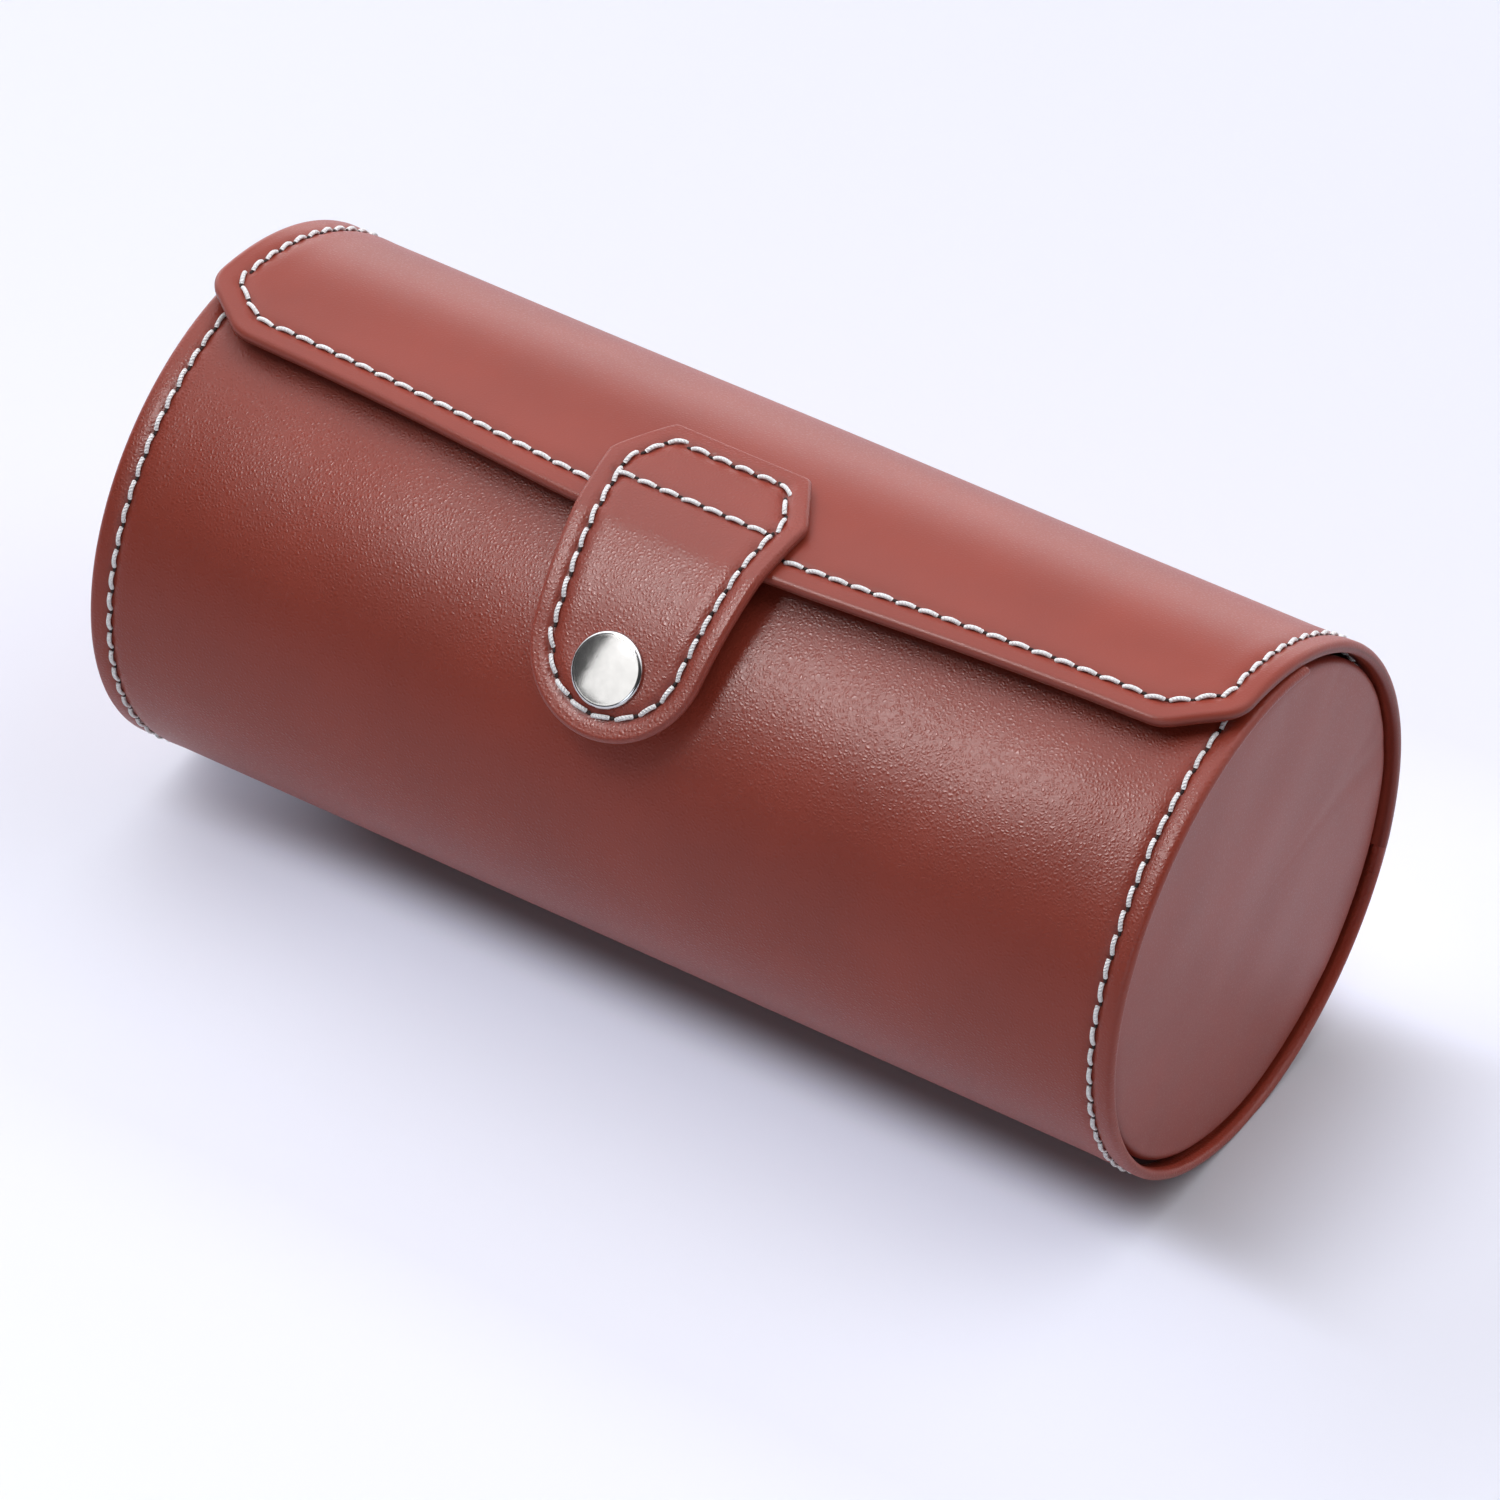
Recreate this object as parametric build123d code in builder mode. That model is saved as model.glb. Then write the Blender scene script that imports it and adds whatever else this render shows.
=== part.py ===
from build123d import *

import os
from math import acos, cos, degrees, radians, sin, sqrt

# A round watch roll: a leather covered tube that lies on its seat, a long flap
# over its mouth and a strap tab that snaps to the front.
# X runs along the roll, the front with the snap faces -Y, and the origin is the
# middle of the seat on the table.
# Angles go round the tube from the front, 0, over the top, 90, to the back, 180.

os.makedirs("parts", exist_ok=True)

# Tube
body_length = 200.0
body_radius = 46.0
cover_thickness = 1.0
board_thickness = 2.2
lining_thickness = 0.8
lip_angle = 105.5
hinge_angle = 205.0
hinge_width = 5.0
lip_turn = 1.0
seat_depth = 0.4

# Rims and end discs
rim_width = 1.6
rim_depth = 2.0
rim_round = 0.5
end_recess = 1.8
end_pad_thickness = 2.7
end_pad_round = 1.6
end_pad_gap = 0.8
end_board_thickness = 2.0

# Dividers and cushions
bays = 3
divider_board_thickness = 1.6
divider_sheet = 0.7
cushion_side_gap = 1.8
cushion_half_width = 31.0
cushion_half_height = 24.0
cushion_crown_radius = 40.0
cushion_wall = 1.0
cushion_draw_in = 1.8
cushion_shoulder = 5.0
cushion_barrel = 0.8
seat_clearance = 0.3

# Flap
flap_end_gap = 0.7
flap_rise = 4.6
flap_rise_angle = 165.0
flap_edge_angle = 66.8
flap_cover_thickness = 1.0
flap_board_thickness = 0.5
flap_lining_thickness = 0.4
flap_margin = 3.0
flap_lining_inset = 0.8
flap_corner_along = 10.5
flap_corner_up = 8.3
flap_corner_round = 7.0
flap_bow = 4.3
flap_bow_flat = 12.0
flap_bow_shoulder_along = 55.0
flap_bow_shoulder_up = 2.9

# Tab, measured up the strap from the centre of the snap
snap_angle = 40.7
tab_cover_thickness = 1.2
tab_backing_thickness = 0.9
tab_end_radius = 16.0
tab_end_beyond_snap = 11.5
tab_widest_half = 19.1
tab_widest_up = 34.0
tab_top_half = 13.0
tab_top_up = 44.3
tab_corner_round = 1.5
tab_standoff = 3.2
tab_crease_radius = 8.0
tab_drape_radius = 50.0
tab_crease_gap = 0.3

# Snap
snap_flange_radius = 5.0
snap_flange_sunk = 0.3
snap_flange_proud = 0.3
snap_stud_radius = 2.9
snap_stud_height = 2.95
snap_stud_round = 0.5
snap_play = 0.4
snap_head_play = 0.3
snap_post_radius = 1.2
snap_post_short = 0.35
snap_post_flange_radius = 4.5
snap_post_flange_thickness = 0.6
socket_radius = 4.8
socket_plate = 0.45
barrel_radius = 1.6
cap_radius = 6.4
cap_rim_height = 0.8
cap_height = 1.4
cap_round = 0.35

# Tube sizes that follow
axis_height = body_radius - seat_depth
board_outer = body_radius - cover_thickness
board_inner = board_outer - board_thickness
lining_inner = board_inner - lining_thickness
half_length = body_length / 2
end_pad_face = half_length - end_recess
board_end = end_pad_face - end_pad_thickness
end_board_inner = board_end - end_board_thickness
bay_end = end_board_inner - lining_thickness
rim_inner = body_radius - rim_width
end_pad_radius = rim_inner - end_pad_gap


def degrees_of(arc, radius):
    """Angle that an arc of that length takes at a radius."""
    return degrees(arc / radius)


# The boards stop short of the hinge line on both sides
hinge_half = degrees_of(hinge_width / 2, body_radius)
body_back_angle = hinge_angle - 360 + hinge_half
flap_back_angle = hinge_angle - hinge_half
inside_lip_angle = lip_angle - degrees_of(lip_turn, body_radius)


def spot(angle, radius, centre=(0.0, 0.0)):
    """Place in the cross-section (Y, Z from the tube's axis) at an angle and radius."""
    return (
        centre[0] - radius * cos(radians(angle)),
        centre[1] + radius * sin(radians(angle)),
    )


def in_space(place, x=0.0):
    """Point of the cross-section as a point of the part."""
    return Vector(x, place[0], place[1] + axis_height)


def cross_section(x):
    """Plane across the roll, with its axes along Y and Z."""
    return Plane(origin=(x, 0, axis_height), x_dir=(0, 1, 0), z_dir=(1, 0, 0))


def facing(angle, place):
    """Plane that touches the cross-section at a place and faces out at an angle.
    Its first axis runs along the roll, its second up the strap."""
    outward = (0, -cos(radians(angle)), sin(radians(angle)))
    return Plane(origin=in_space(place), x_dir=(1, 0, 0), z_dir=outward)


def snap_plane(height):
    """Plane over the snap at a height over the tube's surface."""
    return facing(snap_angle, spot(snap_angle, body_radius + height))


def end_plane(side, x):
    """Plane across the roll that faces out towards one end."""
    return Plane(origin=(side * x, 0, axis_height), z_dir=(side, 0, 0))


def disc(plane, radius):
    """Round face on a plane."""
    with BuildSketch(plane) as round_face:
        Circle(radius)
    return round_face.sketch


def ring_sector(x, inner, outer, start, end):
    """Face between two radii of the tube, from one angle round to the other."""
    with BuildSketch(cross_section(x)) as sector:
        with BuildLine():
            for radius in (inner, outer):
                middle = (start + end) / 2
                ThreePointArc(spot(start, radius), spot(middle, radius), spot(end, radius))
            Line(spot(start, outer), spot(start, inner))
            Line(spot(end, outer), spot(end, inner))
        make_face()
    return sector.sketch


# Tube wall

post_flange_up = snap_post_flange_thickness - cover_thickness - board_thickness

with BuildPart() as body_board:
    wall = ring_sector(-board_end, board_inner, board_outer, inside_lip_angle, body_back_angle)
    extrude(wall, amount=2 * board_end)
    # Seat for the snap's post flange, open to the inside, and the post's hole
    extrude(
        disc(snap_plane(post_flange_up), snap_post_flange_radius),
        amount=-board_thickness,
        mode=Mode.SUBTRACT,
    )
    extrude(disc(snap_plane(0), snap_post_radius), amount=-2 * board_thickness, mode=Mode.SUBTRACT)
body_board.part.label = "body_board"
export_step(body_board.part, "parts/body_board.step")

with BuildPart() as body_cover:
    wall = ring_sector(-half_length, board_outer, body_radius, lip_angle, body_back_angle)
    extrude(wall, amount=2 * half_length)
    # Leather turned over the lip
    lip = ring_sector(-board_end, board_inner, body_radius, lip_angle, inside_lip_angle)
    extrude(lip, amount=2 * board_end)
    # Leather turned in at both rims
    for rim_start in (-half_length, half_length - rim_depth):
        rim = ring_sector(rim_start, rim_inner, body_radius, lip_angle, body_back_angle)
        extrude(rim, amount=rim_depth)
    for rim_face in (faces().sort_by(Axis.X)[0], faces().sort_by(Axis.X)[-1]):
        fillet(rim_face.edges().filter_by(GeomType.CIRCLE), rim_round)
    # Flat of the seat
    split(bisect_by=Plane.XY, keep=Keep.TOP)
    # Seat for the stud's flange and the post's hole
    extrude(
        disc(snap_plane(-snap_flange_sunk), snap_flange_radius),
        amount=cover_thickness,
        mode=Mode.SUBTRACT,
    )
    extrude(disc(snap_plane(0), snap_post_radius), amount=-board_thickness, mode=Mode.SUBTRACT)
body_cover.part.label = "body_cover"
export_step(body_cover.part, "parts/body_cover.step")

with BuildPart() as body_lining:
    wall = ring_sector(-bay_end, lining_inner, board_inner, inside_lip_angle, body_back_angle)
    extrude(wall, amount=2 * bay_end)
body_lining.part.label = "body_lining"
export_step(body_lining.part, "parts/body_lining.step")

# Ends

for side, word in ((-1, "left"), (1, "right")):

    with BuildPart() as end_lining:
        extrude(disc(end_plane(side, bay_end), board_inner), amount=lining_thickness)
    end_lining.part.label = f"{word}_end_lining"
    export_step(end_lining.part, f"parts/{word}_end_lining.step")

    with BuildPart() as end_board:
        extrude(disc(end_plane(side, end_board_inner), board_inner), amount=end_board_thickness)
    end_board.part.label = f"{word}_end_board"
    export_step(end_board.part, f"parts/{word}_end_board.step")

    with BuildPart() as end_cover:
        extrude(disc(end_plane(side, board_end), end_pad_radius), amount=end_pad_thickness)
        outward = Axis((0, 0, axis_height), (side, 0, 0))
        fillet(faces().sort_by(outward)[-1].edges(), end_pad_round)
    end_cover.part.label = f"{word}_end_cover"
    export_step(end_cover.part, f"parts/{word}_end_cover.step")

# Dividers, which part the inside into equal bays

divider_thickness = divider_board_thickness + 2 * divider_sheet
bay_length = (2 * bay_end - (bays - 1) * divider_thickness) / bays
bay_pitch = bay_length + divider_thickness

for side, word in ((-1, "left"), (1, "right")):
    divider_start = side * bay_pitch / 2 - divider_thickness / 2
    board_start = divider_start + divider_sheet
    board_stop = board_start + divider_board_thickness

    with BuildPart() as divider_board:
        board_face = disc(cross_section(board_start), lining_inner - divider_sheet)
        extrude(board_face, amount=divider_board_thickness)
    divider_board.part.label = f"{word}_divider_board"
    export_step(divider_board.part, f"parts/{word}_divider_board.step")

    with BuildPart() as divider_cover:
        # One sheet wraps the board's edge, the other lies on the board's far face
        near_sheet = disc(cross_section(divider_start), lining_inner)
        extrude(near_sheet, amount=divider_thickness - divider_sheet)
        extrude(board_face, amount=divider_board_thickness, mode=Mode.SUBTRACT)
        far_sheet = disc(cross_section(board_stop), lining_inner - divider_sheet)
        extrude(far_sheet, amount=divider_sheet)
    divider_cover.part.label = f"{word}_divider_cover"
    export_step(divider_cover.part, f"parts/{word}_divider_cover.step")

# Cushions, which slide out through the middle of the mouth

mouth_middle = (lip_angle + hinge_angle) / 2
cushion_out = -(lining_inner - seat_clearance - cushion_half_height)
cushion_length = bay_length - 2 * cushion_side_gap


def across_bay(x):
    """Plane across the roll whose second axis points out through the mouth."""
    first = (0, sin(radians(mouth_middle)), cos(radians(mouth_middle)))
    return Plane(origin=(x, 0, axis_height), x_dir=first, z_dir=(1, 0, 0))


def oval(x, half_width, half_height, crown_radius):
    """Face of four arcs that meet smoothly, round the cushion's own middle."""
    drop = crown_radius - half_height
    side_radius = (crown_radius**2 - half_width**2 - drop**2) / (2 * (crown_radius - half_width))
    reach = crown_radius / (crown_radius - side_radius)
    join_x = (half_width - side_radius) * reach
    join_y = drop * (reach - 1)
    with BuildSketch(across_bay(x)) as section:
        with BuildLine():
            for sign in (1, -1):
                ThreePointArc(
                    (-join_x, cushion_out + sign * join_y),
                    (0, cushion_out + sign * half_height),
                    (join_x, cushion_out + sign * join_y),
                )
                ThreePointArc(
                    (sign * join_x, cushion_out + join_y),
                    (sign * half_width, cushion_out),
                    (sign * join_x, cushion_out - join_y),
                )
        make_face()
    return section.sketch


def cushion_sections(middle_x, inset):
    """Sections of the barrel, drawn in at both ends and fullest in the middle."""
    shoulder = cushion_length / 2 - cushion_shoulder
    stations = (
        (-cushion_length / 2, cushion_draw_in),
        (-shoulder, cushion_barrel),
        (0, 0),
        (shoulder, cushion_barrel),
        (cushion_length / 2, cushion_draw_in),
    )
    return [
        oval(
            middle_x + x,
            cushion_half_width - smaller - inset,
            cushion_half_height - smaller - inset,
            cushion_crown_radius - smaller - inset,
        )
        for x, smaller in stations
    ]


for place, word in ((-1, "left"), (0, "middle"), (1, "right")):
    middle_x = place * bay_pitch
    outer_sections = cushion_sections(middle_x, 0)
    inner_sections = cushion_sections(middle_x, cushion_wall)
    core_length = cushion_length - 2 * cushion_wall
    core_span = disc(cross_section(middle_x - core_length / 2), body_radius)

    with BuildPart() as cushion_sleeve:
        loft(outer_sections)
        loft(inner_sections, mode=Mode.SUBTRACT)
    cushion_sleeve.part.label = f"{word}_cushion_sleeve"
    export_step(cushion_sleeve.part, f"parts/{word}_cushion_sleeve.step")

    with BuildPart() as cushion_core:
        loft(inner_sections)
        extrude(core_span, amount=core_length, mode=Mode.INTERSECT)
    cushion_core.part.label = f"{word}_cushion_core"
    export_step(cushion_core.part, f"parts/{word}_cushion_core.step")

    with BuildPart() as cushion_ends:
        loft(inner_sections)
        extrude(core_span, amount=core_length, mode=Mode.SUBTRACT)
    cushion_ends.part.label = f"{word}_cushion_ends"
    export_step(cushion_ends.part, f"parts/{word}_cushion_ends.step")

# Flap: it follows the tube from the hinge to the rise angle, then a larger circle
# that leaves room for the flap's own thickness over the lip

flap_circle_radius = body_radius + flap_rise
flap_circle_centre = spot(flap_rise_angle, -flap_rise)
flap_half_length = half_length - flap_end_gap
rise_turn = radians(flap_rise_angle - flap_edge_angle)
flap_edge_radius = (
    sqrt(flap_circle_radius**2 - (flap_rise * sin(rise_turn)) ** 2) - flap_rise * cos(rise_turn)
)
flap_edge = spot(flap_edge_angle, flap_edge_radius)
# Angle at which the flap's surface faces at its front edge
edge_facing = degrees(acos((flap_circle_centre[0] - flap_edge[0]) / flap_circle_radius))


def flap_layer(depth_a, depth_b):
    """Face of a layer of the flap between two depths under its outer surface."""
    with BuildSketch(cross_section(-flap_half_length)) as layer:
        with BuildLine():
            for depth in (depth_a, depth_b):
                level = body_radius - depth
                low_middle = (flap_back_angle + flap_rise_angle) / 2
                back = spot(flap_back_angle, level)
                rise = spot(flap_rise_angle, level)
                ThreePointArc(back, spot(low_middle, level), rise)
                level = flap_circle_radius - depth
                high_middle = (flap_rise_angle + edge_facing) / 2
                front = spot(edge_facing, level, flap_circle_centre)
                ThreePointArc(rise, spot(high_middle, level, flap_circle_centre), front)
            Line(
                spot(flap_back_angle, body_radius - depth_a),
                spot(flap_back_angle, body_radius - depth_b),
            )
            Line(
                spot(edge_facing, flap_circle_radius - depth_a, flap_circle_centre),
                spot(edge_facing, flap_circle_radius - depth_b, flap_circle_centre),
            )
        make_face()
    return layer.sketch


def flap_outline(inset):
    """Front of the flap laid flat: a bowed edge and two cut and rounded corners."""
    reach = 2 * flap_circle_radius
    corner = flap_half_length - flap_corner_along
    # The edge hangs lowest at its middle and rises in two steps to each corner
    with BuildSketch(facing(edge_facing, flap_edge)) as outline:
        with BuildLine():
            Polyline(
                (flap_bow_flat, 0),
                (flap_bow_shoulder_along, flap_bow_shoulder_up),
                (corner, flap_bow),
                (flap_half_length, flap_bow + flap_corner_up),
                (flap_half_length, reach),
                (-flap_half_length, reach),
                (-flap_half_length, flap_bow + flap_corner_up),
                (-corner, flap_bow),
                (-flap_bow_shoulder_along, flap_bow_shoulder_up),
                (-flap_bow_flat, 0),
                close=True,
            )
        make_face()
        fillet(outline.vertices().sort_by(Axis.Y)[4:8], flap_corner_round)
        if inset > 0:
            offset(amount=-inset, kind=Kind.INTERSECTION, mode=Mode.REPLACE)
    return outline.sketch


board_depth = flap_cover_thickness + flap_board_thickness
flap_thickness = board_depth + flap_lining_thickness
flap_length = 2 * flap_half_length
flap_depth = 2 * flap_circle_radius

with BuildPart() as flap_board:
    extrude(flap_layer(flap_cover_thickness, board_depth), amount=flap_length)
    extrude(flap_outline(flap_margin), amount=flap_depth, both=True, mode=Mode.INTERSECT)
flap_board.part.label = "flap_board"
export_step(flap_board.part, "parts/flap_board.step")

with BuildPart() as flap_cover:
    extrude(flap_layer(0, board_depth), amount=flap_length)
    extrude(flap_outline(0), amount=flap_depth, both=True, mode=Mode.INTERSECT)
    # Pocket for the board, which leaves a turned margin round it
    add(flap_board.part, mode=Mode.SUBTRACT)
flap_cover.part.label = "flap_cover"
export_step(flap_cover.part, "parts/flap_cover.step")

with BuildPart() as flap_lining:
    extrude(flap_layer(board_depth, flap_thickness), amount=flap_length)
    extrude(flap_outline(flap_lining_inset), amount=flap_depth, both=True, mode=Mode.INTERSECT)
flap_lining.part.label = "flap_lining"
export_step(flap_lining.part, "parts/flap_lining.step")

# Hinge: leather and lining without board

hinge_start = body_back_angle + 360
hinge_inner = board_outer - lining_thickness

with BuildPart() as hinge_leather:
    strip = ring_sector(-flap_half_length, board_outer, body_radius, hinge_start, flap_back_angle)
    extrude(strip, amount=flap_length)
hinge_leather.part.label = "hinge_leather"
export_step(hinge_leather.part, "parts/hinge_leather.step")

with BuildPart() as hinge_lining:
    strip = ring_sector(-bay_end, hinge_inner, board_outer, hinge_start, flap_back_angle)
    extrude(strip, amount=2 * bay_end)
hinge_lining.part.label = "hinge_lining"
export_step(hinge_lining.part, "parts/hinge_lining.step")

# Tab: it lies on the flap, bends over the flap's edge and hangs straight past the snap

tab_thickness = tab_cover_thickness + tab_backing_thickness
bend = radians(edge_facing - snap_angle)
edge_level = flap_edge_radius * cos(radians(flap_edge_angle - snap_angle))
hang_level = body_radius + tab_standoff
drape_bend = acos(
    (edge_level - tab_crease_radius * cos(bend) + tab_drape_radius - hang_level)
    / (tab_drape_radius - tab_crease_radius)
)
drape_facing = snap_angle + degrees(drape_bend)
crease_centre = spot(edge_facing, -tab_crease_radius, flap_edge)
drape_start = spot(drape_facing, tab_crease_radius, crease_centre)
drape_centre = spot(drape_facing, -tab_drape_radius, drape_start)
crease_facing = edge_facing - degrees_of(tab_crease_gap, tab_crease_radius)
crease_up = flap_edge_radius * sin(radians(flap_edge_angle - snap_angle))


def tab_free_layer(height_a, height_b):
    """Face of a layer of the tab's free part between two heights over its underside."""
    with BuildSketch(cross_section(-tab_widest_half)) as layer:
        with BuildLine():
            ends = []
            for height in (height_a, height_b):
                level = tab_crease_radius + height
                start = spot(crease_facing, level, crease_centre)
                crease_middle = (crease_facing + drape_facing) / 2
                turn = spot(drape_facing, level, crease_centre)
                ThreePointArc(start, spot(crease_middle, level, crease_centre), turn)
                level = tab_drape_radius + height
                drape_middle = (drape_facing + snap_angle) / 2
                straight = spot(snap_angle, level, drape_centre)
                ThreePointArc(turn, spot(drape_middle, level, drape_centre), straight)
                over_snap = spot(snap_angle, hang_level + height)
                stop = spot(snap_angle - 90, tab_end_radius, over_snap)
                Line(straight, stop)
                ends.append((start, stop))
            Line(ends[0][0], ends[1][0])
            Line(ends[0][1], ends[1][1])
        make_face()
    return layer.sketch


def tab_anchor_layer(height_a, height_b):
    """Face of a layer of the tab's sewn part, which lies on the flap."""
    top_facing = edge_facing + degrees_of(tab_top_up, flap_circle_radius)
    middle = (edge_facing + top_facing) / 2
    with BuildSketch(cross_section(-tab_widest_half)) as layer:
        with BuildLine():
            for height in (height_a, height_b):
                level = flap_circle_radius + height
                ThreePointArc(
                    spot(edge_facing, level, flap_circle_centre),
                    spot(middle, level, flap_circle_centre),
                    spot(top_facing, level, flap_circle_centre),
                )
            for angle in (edge_facing, top_facing):
                Line(
                    spot(angle, flap_circle_radius + height_a, flap_circle_centre),
                    spot(angle, flap_circle_radius + height_b, flap_circle_centre),
                )
        make_face()
    return layer.sketch


def tab_outline(plane):
    """Whole tab laid flat: round end, sides that widen upwards, cut top corners."""
    end_centre = tab_end_radius - tab_end_beyond_snap
    # Each side touches the round end and runs up to the widest point
    rise = tab_widest_up - end_centre
    span = sqrt(rise**2 + tab_widest_half**2)
    touch = acos(tab_end_radius / span) - acos(tab_widest_half / span)
    touch_x = tab_end_radius * cos(touch)
    touch_y = end_centre - tab_end_radius * sin(touch)
    with BuildSketch(plane) as outline:
        with BuildLine():
            ThreePointArc((-touch_x, touch_y), (0, -tab_end_beyond_snap), (touch_x, touch_y))
            Polyline(
                (touch_x, touch_y),
                (tab_widest_half, tab_widest_up),
                (tab_top_half, tab_top_up),
                (-tab_top_half, tab_top_up),
                (-tab_widest_half, tab_widest_up),
                (-touch_x, touch_y),
            )
        make_face()
        fillet(outline.vertices().sort_by(Axis.Y)[-4:], tab_corner_round)
    return outline.sketch


# The outline stands over the middle of each part, so that it isn't foreshortened
free_plane = facing(snap_angle, spot(snap_angle, hang_level))
anchor_middle_up = (crease_up + tab_top_up) / 2
anchor_facing = edge_facing + degrees_of(anchor_middle_up - crease_up, flap_circle_radius)
anchor_middle = spot(anchor_facing, flap_circle_radius, flap_circle_centre)
anchor_plane = facing(anchor_facing, spot(anchor_facing - 90, anchor_middle_up, anchor_middle))
tab_width = 2 * tab_widest_half

with BuildPart() as tab_anchor_backing:
    extrude(tab_anchor_layer(0, tab_backing_thickness), amount=tab_width)
    extrude(tab_outline(anchor_plane), amount=body_radius, both=True, mode=Mode.INTERSECT)
tab_anchor_backing.part.label = "tab_anchor_backing"
export_step(tab_anchor_backing.part, "parts/tab_anchor_backing.step")

with BuildPart() as tab_anchor:
    extrude(tab_anchor_layer(tab_backing_thickness, tab_thickness), amount=tab_width)
    extrude(tab_outline(anchor_plane), amount=body_radius, both=True, mode=Mode.INTERSECT)
tab_anchor.part.label = "tab_anchor"
export_step(tab_anchor.part, "parts/tab_anchor.step")

socket_cavity_top = snap_stud_height + snap_head_play
socket_top = socket_cavity_top + socket_plate
socket_bottom = snap_flange_proud + snap_head_play
cap_seat = tab_standoff + tab_thickness

with BuildPart() as tab_backing:
    extrude(tab_free_layer(0, tab_backing_thickness), amount=tab_width)
    extrude(tab_outline(free_plane), amount=body_radius, both=True, mode=Mode.INTERSECT)
    # Seat for the socket and hole for the cap's barrel
    extrude(
        disc(snap_plane(socket_top), socket_radius),
        amount=-tab_backing_thickness,
        mode=Mode.SUBTRACT,
    )
    extrude(disc(snap_plane(tab_standoff), barrel_radius), amount=tab_thickness, mode=Mode.SUBTRACT)
tab_backing.part.label = "tab_backing"
export_step(tab_backing.part, "parts/tab_backing.step")

with BuildPart() as tab_cover:
    extrude(tab_free_layer(tab_backing_thickness, tab_thickness), amount=tab_width)
    extrude(tab_outline(free_plane), amount=body_radius, both=True, mode=Mode.INTERSECT)
    extrude(
        disc(snap_plane(tab_standoff), barrel_radius), amount=2 * tab_thickness, mode=Mode.SUBTRACT
    )
tab_cover.part.label = "tab_cover"
export_step(tab_cover.part, "parts/tab_cover.step")

# Snap: the stud and its post on the tube, the socket and the cap on the tab

snap_outward = Axis(snap_plane(0).origin, snap_plane(0).z_dir)

with BuildPart() as snap_stud:
    flange = disc(snap_plane(-snap_flange_sunk), snap_flange_radius)
    extrude(flange, amount=snap_flange_sunk + snap_flange_proud)
    knob = disc(snap_plane(snap_flange_proud), snap_stud_radius)
    extrude(knob, amount=snap_stud_height - snap_flange_proud)
    fillet(edges().sort_by(snap_outward)[-1], snap_stud_round)
    bore = disc(snap_plane(snap_stud_height), snap_post_radius)
    extrude(bore, amount=-2 * snap_stud_height, mode=Mode.SUBTRACT)
snap_stud.part.label = "snap_stud"
export_step(snap_stud.part, "parts/snap_stud.step")

with BuildPart() as snap_post:
    shank = disc(snap_plane(post_flange_up), snap_post_radius)
    extrude(shank, amount=snap_stud_height - snap_post_short - post_flange_up)
    flange = disc(snap_plane(post_flange_up), snap_post_flange_radius)
    extrude(flange, amount=-snap_post_flange_thickness)
snap_post.part.label = "snap_post"
export_step(snap_post.part, "parts/snap_post.step")

with BuildPart() as snap_socket:
    extrude(disc(snap_plane(socket_bottom), socket_radius), amount=socket_top - socket_bottom)
    cavity = disc(snap_plane(socket_bottom), snap_stud_radius + snap_play)
    extrude(cavity, amount=socket_cavity_top - socket_bottom, mode=Mode.SUBTRACT)
    extrude(disc(snap_plane(socket_top), barrel_radius), amount=-socket_top, mode=Mode.SUBTRACT)
snap_socket.part.label = "snap_socket"
export_step(snap_socket.part, "parts/snap_socket.step")

with BuildPart() as snap_cap:
    # Low dome with a rounded rim
    dome_plane = Plane(
        origin=snap_plane(cap_seat).origin, x_dir=(1, 0, 0), z_dir=-snap_plane(0).y_dir
    )
    with BuildSketch(dome_plane):
        with BuildLine():
            Polyline((0, cap_height), (0, 0), (cap_radius, 0), (cap_radius, cap_rim_height))
            flank = (cap_radius / 2, cap_rim_height + 0.75 * (cap_height - cap_rim_height))
            ThreePointArc((0, cap_height), flank, (cap_radius, cap_rim_height))
        make_face()
    revolve(axis=snap_outward)
    rim_circles = edges().filter_by(GeomType.CIRCLE).sort_by(SortBy.RADIUS)[-2:]
    fillet(rim_circles, cap_round)
    barrel = disc(snap_plane(cap_seat), barrel_radius)
    extrude(barrel, amount=socket_cavity_top - cap_seat)
snap_cap.part.label = "snap_cap"
export_step(snap_cap.part, "parts/snap_cap.step")
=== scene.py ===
import math

import bmesh
import bpy
import numpy as np
from bpy.props import FloatProperty, FloatVectorProperty, IntProperty, PointerProperty
from mathutils import Matrix, Vector


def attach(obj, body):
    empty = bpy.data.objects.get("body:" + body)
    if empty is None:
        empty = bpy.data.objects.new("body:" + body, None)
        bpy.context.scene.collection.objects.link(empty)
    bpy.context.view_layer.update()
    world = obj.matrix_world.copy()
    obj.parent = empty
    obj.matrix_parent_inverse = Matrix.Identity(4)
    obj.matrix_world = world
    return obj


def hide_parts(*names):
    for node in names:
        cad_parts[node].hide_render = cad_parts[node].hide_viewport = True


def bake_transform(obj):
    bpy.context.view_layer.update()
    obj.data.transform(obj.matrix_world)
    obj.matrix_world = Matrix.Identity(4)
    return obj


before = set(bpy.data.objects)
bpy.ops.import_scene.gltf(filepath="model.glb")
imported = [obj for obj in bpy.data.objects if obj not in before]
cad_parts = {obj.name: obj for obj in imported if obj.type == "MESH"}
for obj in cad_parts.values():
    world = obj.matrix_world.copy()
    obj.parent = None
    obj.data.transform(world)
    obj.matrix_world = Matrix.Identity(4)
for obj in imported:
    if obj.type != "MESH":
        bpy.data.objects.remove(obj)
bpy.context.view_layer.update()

bl_info = {
    "name": "Watch Roll",
    "version": (1, 0, 0),
    "blender": (4, 5, 0),
    "location": "View3D > Sidebar > Watch Roll",
    "description": "Leather, stitching, snap, lining and cushions of a three-watch roll",
    "category": "Object",
}

# Lengths below are in millimetres and angles in degrees. Angles go round the tube
# from the front, 0, over the top, 90, to the back, 180.
MM = 0.001

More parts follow.
